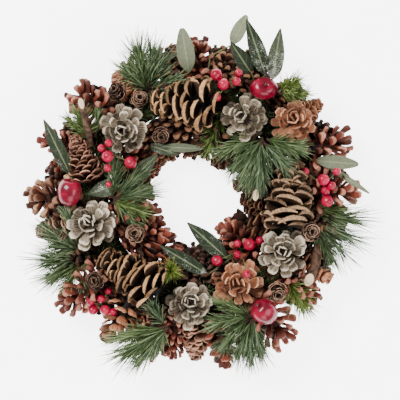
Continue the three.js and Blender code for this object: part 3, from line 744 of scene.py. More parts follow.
# For the cones on each side: how far their feet lie from the ring's centre and from the wreath's back, in
# mm, and how far they tilt up, in degrees. The feet of the outer ones lie further out by a fifth of their
# width.
FLANKS = {"outer": (109, 22, 12), "inner": (87, 18, 4)}
# The heights of the cones that lie lower than the others of their side, in mm.
LOW_HEIGHTS = {"under": 13, "tucked": 16}

# For each large cone: its kind, finish, length in mm, where its tip points and its spin.
LARGE_CONES = {
    "large_cone_north": ("large", "tan", 72, (-1, 0.05, 0.05), 0),
    "large_cone_east": ("thick", "pale_tan", 72, (0.1, 1, 0.05), 0.6),
    "large_cone_south_west": ("sliver", "tan", 78, (-0.85, 0.5, -0.12), 0.5),
}

# For each open cone: its finish, slot, width in mm, where its tip points, its spin, its frost, and its
# width beside its solid's, where that differs.
ROSETTE_CONES = {
    "frosted_cone_north_west": ("frosted", "frosted_scale", 51, (-0.05, 0, 1), 0, 0.4),
    "frosted_cone_north_east": ("frosted", "frosted_scale", 51, (-0.15, 0.05, 1), 0.4, 0.2),
    "frosted_cone_west": ("frosted", "frosted_scale", 51, (-0.2, 0.15, 1), 0.8, 0.9),
    "frosted_cone_south": ("frosted", "frosted_scale", 51, (0.05, 0.15, 1), 1.2, 0.5, 0.96),
    "frosted_cone_east": ("frosted", "frosted_scale", 51, (-0.05, 0.05, 1), 1.6, 1.0),
    "brown_cone_north_east": ("brown", "tan_scale", 46, (0, 0.25, 1), 0.3, 0.0),
    "brown_cone_south": ("brown", "tan_scale", 51, (-0.1, 0.05, 1), 0.9, 0.0, 1.12),
}

# For each small cone: its kind, slot, length, width, where its tip points, its spin and its frost.
SMALL_CONES = {
    "slender_cone_west": ("slender", "dark_scale", 50, 36, (-0.3, 0.95, 0.25), 0, 0.1),
    "larch_cone_north": ("larch", "dark_scale", 20, 22, (0.05, 0.1, 1), 0, 1.0),
    "larch_cone_north_west": ("larch", "dark_scale", 20, 22, (-0.3, 0.3, 1), 0.5, 0),
    "larch_cone_inner_north": ("larch", "dark_scale", 20, 20, (0.1, -0.2, 1), 1, 0.2),
    "larch_cone_inner_west": ("larch", "dark_scale", 20, 22, (0, 0.1, 1), 0.2, 1.1),
    "larch_cone_south_west": ("larch", "dark_scale", 20, 22, (-0.1, 0, 1), 0.7, 0),
    "larch_cone_east": ("larch", "dark_scale", 20, 22, (0.1, 0, 1), 0.9, 0.3),
    "larch_cone_south_east": ("larch", "tan_scale", 20, 22, (0.1, -0.3, 1), 0.3, 0.4),
}


class WREATH_OT_flank_cones(bpy.types.Operator):
    """Make the cones on the outer and inner sides of the ring"""

    bl_idname = "wreath.flank_cones"
    bl_label = "Cones round the ring"

    def execute(self, context):
        for number, (name, (slot, cones)) in enumerate(FLANK_CONES.items()):
            side, *_, level = name.split("_")
            reach, height, tilt = FLANKS[side]
            height = LOW_HEIGHTS.get(level, height)
            outer = side == "outer"
            for k, (degrees, length, width, kind, material, frost) in enumerate(cones):
                outward = heading_vector(math.radians(degrees))
                foot = outward * (reach + width / 5 if outer else reach) + UP * height
                facing = outward * (1 if outer else -1) + UP * math.tan(math.radians(tilt))
                place = Matrix.Translation(RING_CENTRE + foot) @ pointing(facing, 0.4 * k)
                heap = Heap()
                add_cone(heap, kind, length, width, place, 100 * number + k, frost)
                heap.lift_off_wall()
                nodes = [name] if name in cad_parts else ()
                heap.piece(f"{name}_{k + 1}_scales", material, slot, nodes, sharp=48)
        return {"FINISHED"}


class WREATH_OT_large_cones(bpy.types.Operator):
    """Make the three large cones that lie on their sides"""

    bl_idname = "wreath.large_cones"
    bl_label = "Large cones"

    def execute(self, context):
        width = context.scene.wreath_cones.large_width / MM
        for number, (name, (kind, material, length, tip, spin)) in enumerate(LARGE_CONES.items()):
            front_cone(name, kind, material, "tan_scale", length, width, tip, spin, 7 + number)
        return {"FINISHED"}


class WREATH_OT_rosette_cones(bpy.types.Operator):
    """Make the open cones that show as rosettes, frosted and brown"""

    bl_idname = "wreath.rosette_cones"
    bl_label = "Rosette cones"

    def execute(self, context):
        height = context.scene.wreath_cones.rosette_height / MM
        for number, (name, plan) in enumerate(ROSETTE_CONES.items()):
            material, slot, width, tip, spin, *looks = plan
            front_cone(name, "rosette", material, slot, height, width, tip, spin, 20 + number, *looks)
        return {"FINISHED"}


class WREATH_OT_small_cones(bpy.types.Operator):
    """Make the slender cone and the small larch cones"""

    bl_idname = "wreath.small_cones"
    bl_label = "Small cones"

    def execute(self, context):
        for number, (name, (kind, slot, *plan)) in enumerate(SMALL_CONES.items()):
            length, width, tip, spin, frost = plan
            front_cone(name, kind, kind, slot, length, width, tip, spin, 40 + number, frost)
        return {"FINISHED"}


# Leaves

LEAF_ROWS = 9
# For each group: its root, then each leaf's base and tip, width, paleness and frost, and the points of
# its stalk, where that starts elsewhere.
LEAVES = {
    "leaves_north_east": ((62, 112), [
        ((39, 149, 12), (54, 178, 24), 14, 1.0, 0.1, (16, 124, 4), (18, 138, 8)),
        ((59, 120, 6), (37.5, 152, 22), 16, 0.0, 0.15),
        ((72.5, 119, 8), (53.5, 174, 30), 17, 0.0, 0.5),
        ((79.5, 115, 4), (87, 165, 26), 17, 0.15, 0.9),
    ]),
    "leaf_west": ((-121, 13), [((-124, 20, 3), (-151, 76, 10), 15, 0.04, 0.35)]),
    "leaves_inner_north": ((-50, 50), [
        ((-48, 49, 3), (-16, 39, 5), 10, 0.1, 0.5),
        ((-34, 47, 4), (10, 45, 8), 9, 0.35, 0.2),
    ]),
    "leaves_inner_west": ((-70, 12), [
        ((-62, 17, 3), (-38, 41, 8), 14, 0.1, 0.4),
        ((-75, 12, 3), (-108, 1, 9), 17, 0.12, 0.9),
    ]),
    "leaves_east": ((112, 36), [
        ((118, 35, 4), (161, 31, 12), 14, 0.61, 0.1),
        ((128, 31, 4), (172, 2, 10), 6, 0.8, 0.1),
    ]),
}
BLUNT_FROM = 0.6  # paler leaves than this have a blunt tip
LEAF_SHAPES = {}


def leaf_shape(blunt):
    """A narrow leaf, one long and one wide, arched along its length and folded at its midrib. Modelled
    once with a pointed and once with a blunt tip."""
    if blunt not in LEAF_SHAPES:
        rows = []
        for k in range(LEAF_ROWS):
            t = k / (LEAF_ROWS - 1)
            half = 0.5 * math.sin(math.pi * t ** 0.8) + 0.04
            if blunt:
                half = 0.5 * math.sin(math.pi * t ** 0.95) ** 0.85 + 0.05 + 0.08 * smooth(t, 0.7, 1)
            rows.append((t, min(half, 0.5), 0.4 * t * (1 - t), 1))
        LEAF_SHAPES[blunt] = blade(rows, 0.05, 0.0, 0.012, 0.45, levels=1, spread=1.0, inner_cup=0.5)
    return LEAF_SHAPES[blunt]


def add_leaves(leaf_heap, stalk_heap, root, leaves, seed):
    """Adds leaves and their stalks to two heaps, from a root at height 0."""
    draw = random.Random(seed)
    start = Vector((*root, 0))
    for base, tip, width, pale, frost, *bends in leaves:
        base, tip = Vector(base), Vector(tip)
        along = (tip - base).normalized()
        side = along.cross(UP).normalized()
        up = side.cross(along)
        length = (tip - base).length
        place = axes(side, along, up, (width, length, length), base)
        leaf_heap.add(leaf_shape(pale > BLUNT_FROM), place, pale=pale, frost=frost, tint=draw.random())
        bends = [Vector(bend) for bend in bends] or [start, start.lerp(base, 0.5) + UP * 2]
        path = [*bends, base, base + along * 0.15 * length + up * 1.5]
        stalk_heap.add(rod(path, [0.9, 0.8, 0.7, 0.4], 6))


def raised_leaves(root, leaves, seed, height, blade_name, stalk_name):
    """Makes leaves and their stalks that have no solid, from a root at a height."""
    blades, stalks = Heap(), Heap()
    add_leaves(blades, stalks, root, leaves, seed)
    for heap, name, look in ((blades, blade_name, "leaf"), (stalks, stalk_name, "stalk")):
        heap.move(np.array(RING_CENTRE + UP * height))
        heap.piece(name, look, "leaf_green")


class WREATH_OT_leaves(bpy.types.Operator):
    """Make the narrow leaves and their stalks"""

    bl_idname = "wreath.leaves"
    bl_label = "Leaves"

    def execute(self, context):
        for number, (name, (root, leaves)) in enumerate(LEAVES.items()):
            blades, stalks = Heap(), Heap()
            add_leaves(blades, stalks, root, leaves, number)
            ends = np.concatenate([blades.all_points(), [(*root, 0)]])
            shift = np.sum(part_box(name), axis=0) * 0.5 / MM - 0.5 * (ends.min(0) + ends.max(0))
            for heap in (blades, stalks):
                heap.move(shift)
            blades.piece(name + "_blades", "leaf", "leaf_green", [name])
            stalks.piece(name + "_stalks", "stalk", "leaf_green")
        return {"FINISHED"}


# Apples and berries

# For each apple: where its stalk points, its size, and how far it lies from the middle of its solid's box.
APPLES = {
    "apple_west": ((0.15, 0.9, 0.3), (23.8, 27.2, 23), (4.7, 4.4, 6)),
    "apple_north_east": ((0.1, 0.3, 1), (28.2, 22.2, 23), (-3.5, -4, 0)),
    "apple_south_east": ((-0.6, 0.55, 0.6), (26.2, 26, 24), (-5.4, -1, 3.5)),
}
# The outlines of the fruit, hollowed at both ends: (height, radius) from the lower end up.
APPLE_PROFILE = [(0.04, 0), (-0.02, 0.1), (0, 0.2), (0.08, 0.36), (0.3, 0.48), (0.5, 0.5), (0.68, 0.46),
                 (0.8, 0.36), (0.86, 0.24), (0.85, 0.12), (0.78, 0)]
BERRY_PROFILE = [(0.06, 0), (0.02, 0.12), (0.1, 0.3), (0.3, 0.46), (0.5, 0.5), (0.72, 0.45), (0.9, 0.3),
                 (0.97, 0.14), (0.94, 0)]
# How far the foot, the bend and the end of a stalk lie from its apple's middle, as shares of its size.
STALK_REACHES = (0.26, 0.38, 0.48)

# For each cluster: its root and the root's height, then (x, y, radius, height above the root) of each
# berry.
BERRIES = {
    "berries_north_west": ((-84, 42), 51.0, [
        (-86, 52, 4, 12), (-93, 47, 4, 11), (-87, 39, 6, 12), (-64.5, 33, 6, 10), (-87, 27.5, 4, 10),
        (-86, 11.5, 3, 8)]),
    "berries_north": ((32, 112), 50.3, [
        (20, 119.5, 6, 10), (27, 110, 6, 13), (21, 97, 4, 14), (42, 121, 4, 9), (40, 113, 4.5, 11)]),
    "berries_east": ((126, 10), 39.9, [
        (108, 24, 4, 12), (139, 24, 4, 12), (126, 16, 6, 13), (134, 10, 4.5, 11), (128, 5, 4.5, 10),
        (130, -5, 6, 9)]),
    "berries_south_west": ((-94, -108), 31.5, [
        (-87, -94, 3.5, 12), (-94, -102, 4, 11), (-104, -105, 4, 10), (-102, -113, 5, 8), (-90, -113, 5, 9),
        (-82, -115, 4, 8)]),
    "berries_south_east": ((45, -54), 28.4, [
        (41, -47, 4, 10), (53, -48, 6, 12), (63, -44, 4, 14), (41, -58, 4, 11), (21, -64, 5.5, 10),
        (50, -77, 4.2, 33)]),
}
# The leaves that grow from the root of the south-east cluster.
BERRY_LEAVES = [((31, -62, 3), (-9, -26, 9), 17, 0.0, 0.35), ((12, -78, 3), (-36, -49, 5), 14, 0.0, 0.4)]


class WREATH_OT_apples(bpy.types.Operator):
    """Make the three small apples, hollowed at the stalk and at the eye"""

    bl_idname = "wreath.apples"
    bl_label = "Apples"

    def execute(self, context):
        growth = context.scene.wreath_fruit.apple_size
        shape = ball(14, 20, APPLE_PROFILE, lobes=5, depth=0.05)
        for name, (facing, size, shift) in APPLES.items():
            heap = Heap()
            heap.add(shape, pointing(facing))
            low, high = heap.box()
            heap.stretch(np.array(size) * growth / (high - low))
            heap.fit(name)
            heap.move(shift)
            middle = Vector(heap.middle())
            heap.piece(name + "_skin", "apple", "apple_red", [name], sharp=180)
            out = Vector(facing).normalized() * max(size)
            foot, bend, end = (middle + out * reach for reach in STALK_REACHES)
            stub = Heap()
            stub.add(rod([foot, bend, end + Vector((0.6, 0.3, 0))], [0.7, 0.7, 1.0], 7))
            stub.piece(name + "_stalk", "twig", "bark")
        return {"FINISHED"}


class WREATH_OT_berries(bpy.types.Operator):
    """Make the clusters of berries with their stalks, and the leaves of the south-east cluster"""

    bl_idname = "wreath.berries"
    bl_label = "Berries"

    def execute(self, context):
        shape = ball(10, 14, BERRY_PROFILE)
        growth = context.scene.wreath_fruit.berry_size
        for name, (root, height, berries) in BERRIES.items():
            skins, stalks = Heap(), Heap()
            start = RING_CENTRE + Vector((*root, height))
            for k, (x, y, radius, rise) in enumerate(berries):
                centre = RING_CENTRE + Vector((x, y, height + rise))
                facing = (centre - start + UP * 8).normalized()
                size = Matrix.Scale(2 * radius * growth, 4)
                place = Matrix.Translation(centre) @ pointing(facing, k) @ size
                skins.add(shape, place)
                bend = start.lerp(centre, 0.6) + UP * 1.5
                stalks.add(rod([start, bend, centre - facing * 0.7 * radius], [0.8, 0.65, 0.6], 6))
            skins.piece(name + "_skins", "berry", "berry_red", [name], sharp=180)
            if name == "berries_south_east":
                raised_leaves(root, BERRY_LEAVES, 9, height, name + "_blades", name + "_leaf_stalks")
            stalks.piece(name + "_stalks", "stalk", "bark")
        return {"FINISHED"}


# Twigs

# For each twig: its points, in mm from the ring's centre, its radius, and the slant of its cut end.
TWIGS = {
    "twig_south_east": ([(121, -48, 30), (120, -58, 34), (117, -70, 39), (112, -83, 43.6)], 5.2, 1.2),
    "twig_north_west": ([(-104, 50, 46), (-106, 62, 52), (-109, 75, 56), (-113, 91, 60)], 3.2, 1.8),
    "twig_inner_east": ([(62, 44, 26), (62, 30, 36), (61, 16, 46), (59, 1, 55)], 3.6, 1.7),
}


class WREATH_OT_twigs(bpy.types.Operator):
    """Make the twigs with their cut ends"""

    bl_idname = "wreath.twigs"
    bl_label = "Twigs"

    def execute(self, context):
        for name, (points, radius, slant) in TWIGS.items():
            path = [RING_CENTRE + Vector(p) for p in points]
            bark = Heap()
            bark.add(rod(path, [radius * r for r in (0.9, 1, 0.98, 0.95)], 14, 0.1, 3, (0, 0, 0, slant)))
            bark.piece(name + "_bark", "twig", "bark", [name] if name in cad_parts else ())
            along = (path[-1] - path[-2]).normalized()
            sawn = Heap()
            ends = [path[-1] - along * 0.6, path[-1] - along * 0.2, path[-1] + along * 0.2]
            sawn.add(rod(ends, [0.88 * radius], 14, slants=(slant, slant, slant)))
            sawn.piece(name + "_cut_end", "cut", "bark")
        return {"FINISHED"}


# Pine sprays

# For each spray, its twigs: where the twig starts and ends, in mm from the ring's centre, then the
# length and count of its needles, how far they lean from it in degrees, and how fresh a green they are.
SPRAYS = {
    "spray_north": [
        ((-49, 104, 34), (-55, 134, 44), 34, 340, 36, 0.15),
        ((-47, 106, 34), (-37, 128, 42), 28, 130, 24, 0.0),
        ((-47, 106, 34), (-44, 134, 46), 31, 180, 22, 0.0),
        ((-48, 104, 34), (-68, 122, 40), 22, 120, 26, 0.1),
        ((-46, 107, 34), (-26, 113, 44), 21, 150, 16, 0.05),
        ((-46, 104, 36), (-32, 99, 50), 20, 130, 26, 0.1),
    ],
    "spray_north_west": [
        ((-106, 57, 40), (-114, 76, 44), 19, 240, 44, 0.45),
        ((-100, 58, 38), (-97, 80, 40), 14, 90, 18, 0.2),
        ((-110, 62, 38), (-124, 74, 40), 14, 110, 24, 0.4),
    ],
    "spray_inner_east": [
        ((66, 58, 44), (52, 31, 46), 29, 320, 26, 0.1),
        ((60, 60, 40), (36, 48, 44), 24, 200, 24, 0.2),
        ((27, 88, 26), (14, 52, 32), 22, 260, 34, 0.6),
        ((58, 58, 42), (38, 30, 42), 20, 160, 22, 0.1),
        ((66, 56, 46), (56, 22, 50), 26, 240, 22, 0.1),
        ((64, 54, 48), (63, 22, 54), 27, 300, 20, 0.0),
        ((67, 53, 46), (84, 34, 56), 27, 220, 20, 0.0),
        ((70, 56, 46), (92, 50, 52), 25, 240, 24, 0.2),
    ],
    "spray_east": [
        ((114, -18, 24), (146, -22, 32), 41, 130, 20, 0.1),
        ((112, -14, 26), (138, -12, 36), 25, 90, 18, 0.3),
        ((115, -22, 24), (144, -38, 28), 37, 130, 22, 0.0),
        ((116, -24, 26), (127, -49, 30), 28, 190, 24, 0.15),
        ((116, -23, 24), (142, -52, 30), 32, 120, 22, 0.0),
        ((116, -25, 28), (134, -60, 32), 25, 110, 20, 0.0),
    ],
    "spray_south_east": [
        ((90, -84, 29), (104, -104, 34), 24, 300, 36, 0.7),
    ],
    "spray_south": [
        ((55, -119, 40), (28, -124, 46), 26, 280, 24, 0.15),
        ((52, -122, 40), (32, -142, 42), 26, 240, 22, 0.1),
        ((55, -122, 38), (46, -148, 38), 27, 280, 24, 0.1),
        ((57, -122, 38), (62, -146, 40), 27, 240, 20, 0.0),
        ((56, -122, 38), (54, -152, 40), 28, 200, 14, 0.0),
        ((54, -118, 42), (30, -108, 46), 20, 140, 20, 0.25),
    ],
    "spray_south_south_west": [
        ((-28, -130, 52), (-60, -150, 50), 36, 300, 24, 0.15),
        ((-28, -131, 50), (-50, -156, 48), 31, 200, 18, 0.1),
        ((-30, -129, 52), (-64, -138, 52), 33, 200, 18, 0.25),
        ((-30, -130, 48), (-40, -148, 44), 22, 160, 24, 0.1),
        ((-31, -128, 48), (-44, -107, 50), 19, 170, 30, 0.0),
    ],
    "spray_west": [
        ((-110, -60, 20), (-138, -63, 26), 37, 260, 24, 0.05),
        ((-110, -61, 20), (-135, -76, 26), 33, 240, 20, 0.15),
        ((-110, -62, 20), (-126, -84, 26), 28, 240, 24, 0.3),
        ((-110, -58, 24), (-134, -42, 34), 32, 300, 22, 0.0),
        ((-108, -56, 28), (-124, -26, 40), 24, 220, 18, 0.05),
        ((-112, -54, 26), (-136, -50, 34), 24, 160, 26, 0.1),
        ((-108, -63, 22), (-112, -82, 30), 20, 170, 28, 0.3),
    ],
    "spray_north_east": [
        ((83, 104, 50), (96, 111, 58), 16, 190, 36, 0.75),
        ((84, 101, 48), (104, 101, 56), 16, 200, 32, 0.5),
    ],
    "spray_inner_west": [
        ((-83, -2, 34), (-80, 24, 42), 20, 210, 24, 0.1),
        ((-82, -3, 34), (-60, 17, 38), 23, 180, 18, 0.05),
        ((-82, -4, 34), (-56, 2, 36), 28, 240, 18, 0.1),
        ((-82, -5, 34), (-58, -14, 36), 20, 230, 30, 0.45),
        ((-82, -6, 33), (-62, -26, 34), 18, 120, 18, 0.1),
    ],
    "spray_inner_south": [
        ((-25, -73, 30), (-25, -74, 43), 15, 180, 76, 0.95),
    ],
}
# The pale leaf on the north spray's stem: its root, its plan as in LEAVES, and its root's height.
SPRAY_LEAF = ((-49, 107), [((-7, 122, 4), (-14, 166, 20), 18, 0.65, 0.15)], 33.4)

NEEDLE_BEND = 5  # how far a needle's tip bends, in units of its thickness
CLEARING_TRIES = 9  # how often a needle is turned up before it is left out
CLEARING_RISE = 0.16  # how far each try turns it up, as a share of its length
NEEDLE_GAP = 0.8  # how far the tips of the needles stay from the wreath's back, in mm

SPRIG_NEEDLES = 16  # on each of the short sprigs
SPRIG_STEP = 0.8  # from one needle of a sprig to the next, in mm
SPRIG_REACH = 9  # how far the sprigs' feet lie from the circle in the middle of the ring's stems, in mm
SPRIG_HEIGHT = 9.5  # of that circle over the wreath's back, in mm


def needle_shape():
    """A three-sided needle, one long, drawn to a point and a little bent."""
    shape = rod([(0, 0, 0), (0, 0.33, 0), (0, 0.7, 0), (0, 1, 0)], [0.8, 1.0, 0.95, 0.4], 3)
    shape.points[:, 2] += NEEDLE_BEND * shape.points[:, 1] ** 2
    return shape


def needle_radius():
    """Half a needle's width, in mm."""
    return bpy.context.scene.wreath_green.needle_width / MM / 2


def others_tree():
    """A search tree of the CAD solids, in mm, without the sprays and all leaves but the west one."""
    points, faces = [], []
    for name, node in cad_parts.items():
        if name.startswith(("spray", "leaves")):
            continue
        start = len(points)
        points.extend(v.co / MM for v in node.data.vertices)
        faces.extend(tuple(start + k for k in f.vertices) for f in node.data.polygons)
    return BVHTree.FromPolygons(points, faces)


def add_needle(heap, shape, foot, direction, outward, length, **marks):
    """Adds a needle that grows from its foot in a direction, on the outward side of its twig."""
    level = outward if abs(direction.dot(outward)) < 0.95 else UP
    across = direction.cross(level).normalized()
    size = (needle_radius(), length, needle_radius())
    heap.add(shape, axes(across, direction, across.cross(direction), size, foot), **marks)


def add_needles(heap, shape, tree, twig, draw):
    """Adds the needles of a twig, each turned up until it is clear of the solids round it."""
    start, end, needle_length, count, lean_limit, fresh = twig
    start, end = RING_CENTRE + Vector(start), RING_CENTRE + Vector(end)
    along = (end - start).normalized()
    side = along.cross(UP)
    side = (side if side.length > 0.1 else Vector((1, 0, 0))).normalized()
    for i in range(count):
        t = (i + 0.5) / count
        foot = start.lerp(end, 0.05 + 0.95 * t)
        # The needles near the start of the twig lean out further.
        lean = math.radians(lean_limit) * (1.9 - 0.9 * t) * draw.uniform(0.1, 1)
        outward = Matrix.Rotation(i * GOLDEN_ANGLE, 3, along) @ side
        length = needle_length * (0.55 + 0.65 * draw.random() ** 1.5)
        direction = along * math.cos(lean) + outward * math.sin(lean)
        for attempt in range(CLEARING_TRIES):
            raised = (direction + UP * CLEARING_RISE * attempt).normalized()
            clear = tree.ray_cast(foot, raised, length)[0] is None
            if clear and (foot + raised * length).z > NEEDLE_GAP:
                add_needle(heap, shape, foot, raised, outward, length, tint=draw.random(), fresh=fresh)
                break


class WREATH_OT_pine_sprays(bpy.types.Operator):
    """Make the pine sprays: twigs with needles all round, turned clear of the other pieces"""

    bl_idname = "wreath.pine_sprays"
    bl_label = "Pine sprays"

    def execute(self, context):
        shape = needle_shape()
        tree = others_tree()
        for seed, (name, twigs) in enumerate(SPRAYS.items()):
            draw = random.Random(seed)
            stems, needles = Heap(), Heap()
            for twig in twigs:
                start, end = (RING_CENTRE + Vector(place) for place in twig[:2])
                stems.add(rod([start, start.lerp(end, 0.5), end], [1.5, 1.1, 0.6], 7, 0.2, seed))
                add_needles(needles, shape, tree, twig, draw)
            stems.piece(name + "_stems", "stem", "bark")
            needles.piece(name + "_needles", "needles", "pine_green", [name])
        root, leaves, height = SPRAY_LEAF
        raised_leaves(root, leaves, 21, height, "spray_north_blade", "spray_north_leaf_stalk")
        self.add_filler(shape, tree)
        return {"FINISHED"}

    def add_filler(self, shape, tree):
        """Short sprigs tucked in between the cones, wherever the ring lies open."""
        draw = random.Random(5)
        heap = Heap()
        sprigs = bpy.context.scene.wreath_green.sprigs
        for sprig in range(sprigs):
            heading = 2 * math.pi * (sprig + draw.random()) / sprigs
            section = math.radians(draw.uniform(15, 165))
            outward = heading_vector(heading)
            normal = outward * math.cos(section) + UP * math.sin(section)
            foot = RING_CENTRE + outward * RING_RADIUS + UP * SPRIG_HEIGHT + normal * SPRIG_REACH
            tangent = outward.cross(UP) * draw.choice((-1, 1))
            stem = (normal * 0.7 + tangent * draw.uniform(0.4, 1.2)).normalized()
            for i in range(SPRIG_NEEDLES):
                start = foot + stem * SPRIG_STEP * i
                turn = Matrix.Rotation(i * GOLDEN_ANGLE, 3, stem) @ stem.cross(outward).normalized()
                direction = (stem + turn * draw.uniform(0.4, 0.9)).normalized()
                length = draw.uniform(8, 14)
                if tree.ray_cast(start, direction, length + 1)[0] is None:
                    looks = {"tint": draw.random() * 0.6, "fresh": draw.choice((0, 0.1, 0.3))}
                    add_needle(heap, shape, start, direction, turn, length, **looks)
        heap.piece("ring_sprigs_needles", "needles", "pine_green")


# The ring

BUNDLE_HEIGHT = 9.6  # of the middle of the bundle of stems over the wreath's back, in mm
BUNDLE_REACH = 13.2  # how far the middles of the stems swing from there to the sides, in mm
BUNDLE_RISE = 5.4  # how far they swing up and down, in mm
RING_STEPS = 120  # the steps of a stem round the ring


class WREATH_OT_vine_ring(bpy.types.Operator):
    """Make the ring of wound vine stems"""

    bl_idname = "wreath.vine_ring"
    bl_label = "Vine ring"

    def execute(self, context):
        settings = context.scene.wreath_ring
        heap = Heap()
        strands = settings.strands
        for k in range(strands):
            draw = random.Random(k)
            phase = 2 * math.pi * k / strands
            turns = 3 if k % 2 else 2
            thick = settings.stem_width / MM / 2 * draw.uniform(0.85, 1.1)
            points = []
            for i in range(RING_STEPS + 1):
                heading = 2 * math.pi * i / RING_STEPS
                section = phase + turns * heading
                wave = 0.6 * math.sin(5 * heading + k)
                radius = RING_RADIUS + (BUNDLE_REACH + wave) * math.cos(section)
                height = BUNDLE_HEIGHT + (BUNDLE_RISE + 0.3 * wave) * math.sin(section)
                height = max(height, 1.1 * thick)
                place = (radius * math.cos(heading), radius * math.sin(heading), height)
                points.append(RING_CENTRE + Vector(place))
            heap.add(rod(points, [thick], 9, 0.16, k), tint=draw.random())
        heap.piece("vine_ring_stems", "vine", "vine", ["vine_ring"])
        return {"FINISHED"}


# Stage

VIEW_WIDTH = 0.4  # the width that the picture takes in, in metres
SENSOR_WIDTH = 36  # of the camera, in mm


class WREATH_OT_stage(bpy.types.Operator):
    """Make the pale floor, the soft studio lights and the camera straight above"""

    bl_idname = "wreath.stage"
    bl_label = "Floor, lights and camera"

    def execute(self, context):
        settings = context.scene.wreath_stage
        deselect()
        bpy.ops.mesh.primitive_plane_add(size=6, location=(0, 0, 0))
        floor = bpy.context.object
        floor.name = "floor"
        material, surface, add = new_material("Pale matte paper", 0.9)
        paper = add(MIX, grain(add, 40, 2), "#f6f6f6", "#fafafa")
        finish_surface(add, surface, paper)
        material.node_tree.links.new(paper, surface.inputs["Emission Color"])
        surface.inputs["Emission Strength"].default_value = settings.floor_glow
        floor.data.materials.append(material)
        lights = (
            ("Key", (-1.3, 1.1, 2.2), 1.2, settings.key_power),
            ("Fill", (1.6, -0.6, 2.0), 1.8, settings.fill_power),
            ("Low", (0.2, -1.8, 1.2), 1.4, settings.fill_power * 0.5),
        )
        for name, place, size, power in lights:
            bpy.ops.object.light_add(type="AREA", location=place)
            light = bpy.context.object
            light.name = name
            light.data.size = size
            light.data.energy = power
            light.rotation_euler = (-Vector(place)).to_track_quat("-Z", "Y").to_euler()
        world = context.scene.world or bpy.data.worlds.new("Studio")
        context.scene.world = world
        world.use_nodes = True
        background = world.node_tree.nodes["Background"]
        background.inputs["Color"].default_value = srgb("#ffffff")
        background.inputs["Strength"].default_value = settings.room_light
        target = (RING_CENTRE + Vector((4, -4, 0))) * MM
        bpy.ops.object.camera_add(location=target + UP * settings.camera_height, rotation=(0, 0, 0))
        camera = bpy.context.object
        camera.data.lens = SENSOR_WIDTH * settings.camera_height / VIEW_WIDTH
        camera.data.clip_end = 50
        context.scene.camera = camera
        return {"FINISHED"}


# Settings and panel


def colour_setting(name, description, code):
    """A colour that can be changed, from an sRGB hex value."""
    return FloatVectorProperty(name=name, description=description, subtype="COLOR", size=3, min=0, max=1,
                               default=srgb(code)[:3])


def length_setting(name, description, metres, **more):
    """A length that can be changed, in metres."""
    return FloatProperty(name=name, description=description, default=metres, unit="LENGTH", **more)


def power_setting(name, description, watts):
    """The power of a light that can be changed, in watts."""
    return FloatProperty(name=name, description=description, default=watts, unit="POWER")


def growth_setting(name, description):
    """A size that can be changed, beside that of the part."""
    return FloatProperty(name=name, description=description, default=1.0, min=0.7, max=1.1, subtype="FACTOR")


class WreathConeSettings(bpy.types.PropertyGroup):
    """Sizes and colours of the cones"""

    large_width: length_setting("Large cones", "Width of the large cones over their scales", 0.057)
    rosette_height: length_setting("Open cones", "Height of the open cones, stalk to tip", 0.034)
    frost_paint: colour_setting("Frost paint", "Matte paint on the edges of the frosted scales", "#d6c8b0")
    golden_lip: colour_setting("Golden lips", "Weathered lips of the large scales", "#d8a672")
    brown_scale: colour_setting("Orange-brown scales", "Faces of the brown open cones", "#a5623f")
    red_scale: colour_setting("Red-brown scales", "Faces of the finger scales", "#763829")


class WreathGreenSettings(bpy.types.PropertyGroup):
    """Sizes and colours of the needles and leaves"""

    needle_width: length_setting("Needle width", "Width of one pine needle", 0.00066, precision=5)
    sprigs: IntProperty(name="Short sprigs", description="How many sprigs fill the gaps on the ring",
                        default=240, min=0, max=400)
    needle_green: colour_setting("Needles", "Lightest green of the blue-green needles", "#576c49")
    fresh_green: colour_setting("Fresh needles", "Lightest green of the yellow-green needles", "#7a8c2c")
    leaf_green: colour_setting("Leaves", "Upper side of the dark leaves", "#26311d")
    pale_leaf: colour_setting("Pale leaves", "Back of the leaves, where it shows", "#92967c")


class WreathFruitSettings(bpy.types.PropertyGroup):
    """Sizes and colours of the apples and berries"""

    apple_size: growth_setting("Apple size", "Size of the apples beside that of the part")
    berry_size: growth_setting("Berry size", "Size of the berries beside that of the part")
    apple_skin: colour_setting("Apple skin", "Lightest red of the apples", "#880328")
    berry_skin: colour_setting("Berry skin", "Lightest red of the berries", "#b4083a")


class WreathRingSettings(bpy.types.PropertyGroup):
    """Sizes of the vine ring"""

    strands: IntProperty(name="Vine stems", description="How many stems are wound",
                         default=16, min=4, max=20)
    stem_width: length_setting("Stem width", "Thickness of one vine stem", 0.0082)


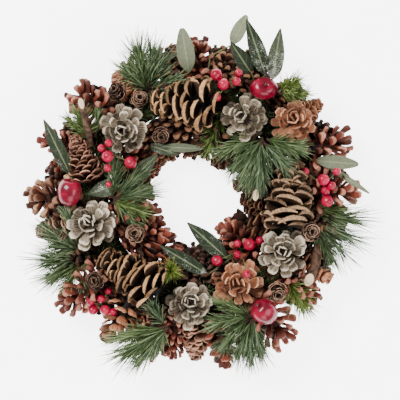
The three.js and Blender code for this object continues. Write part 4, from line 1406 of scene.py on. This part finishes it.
class WreathStageSettings(bpy.types.PropertyGroup):
    """Lights and camera"""

    key_power: power_setting("Key light", "Power of the main light", 125.0)
    fill_power: power_setting("Fill light", "Power of the fill light", 50.0)
    room_light: FloatProperty(name="Room light", description="Strength of the even light", default=0.55)
    floor_glow: FloatProperty(name="Floor glow", description="Strength of the floor's own light",
                              default=5.0)
    camera_height: length_setting("Camera height", "Height of the camera over the floor", 4.0)


SETTINGS = {
    "wreath_ring": WreathRingSettings,
    "wreath_cones": WreathConeSettings,
    "wreath_green": WreathGreenSettings,
    "wreath_fruit": WreathFruitSettings,
    "wreath_stage": WreathStageSettings,
}
OPERATORS = (
    WREATH_OT_vine_ring,
    WREATH_OT_flank_cones,
    WREATH_OT_large_cones,
    WREATH_OT_rosette_cones,
    WREATH_OT_small_cones,
    WREATH_OT_leaves,
    WREATH_OT_apples,
    WREATH_OT_berries,
    WREATH_OT_twigs,
    WREATH_OT_pine_sprays,
    WREATH_OT_stage,
)


class WREATH_PT_panel(bpy.types.Panel):
    """Lists the wreath's settings and the buttons that make its pieces"""

    bl_label = "Wreath"
    bl_idname = "WREATH_PT_panel"
    bl_space_type = "VIEW_3D"
    bl_region_type = "UI"
    bl_category = "Wreath"

    def draw(self, context):
        for name, kind in SETTINGS.items():
            group = getattr(context.scene, name)
            for setting in kind.__annotations__:
                self.layout.prop(group, setting)
        for operator in OPERATORS:
            self.layout.operator(operator.bl_idname)


CLASSES = (*SETTINGS.values(), *OPERATORS, WREATH_PT_panel)


def register():
    """Registers the classes and puts their settings on the scene."""
    for item in CLASSES:
        bpy.utils.register_class(item)
    for name, kind in SETTINGS.items():
        setattr(bpy.types.Scene, name, PointerProperty(type=kind))


def unregister():
    """Takes the settings off the scene and unregisters the classes."""
    for name in SETTINGS:
        delattr(bpy.types.Scene, name)
    for item in reversed(CLASSES):
        bpy.utils.unregister_class(item)


def main():
    """Registers the add-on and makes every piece."""
    register()
    for operator in OPERATORS:
        group, name = operator.bl_idname.split(".")
        getattr(getattr(bpy.ops, group), name)()


if __name__ == "__main__":
    main()
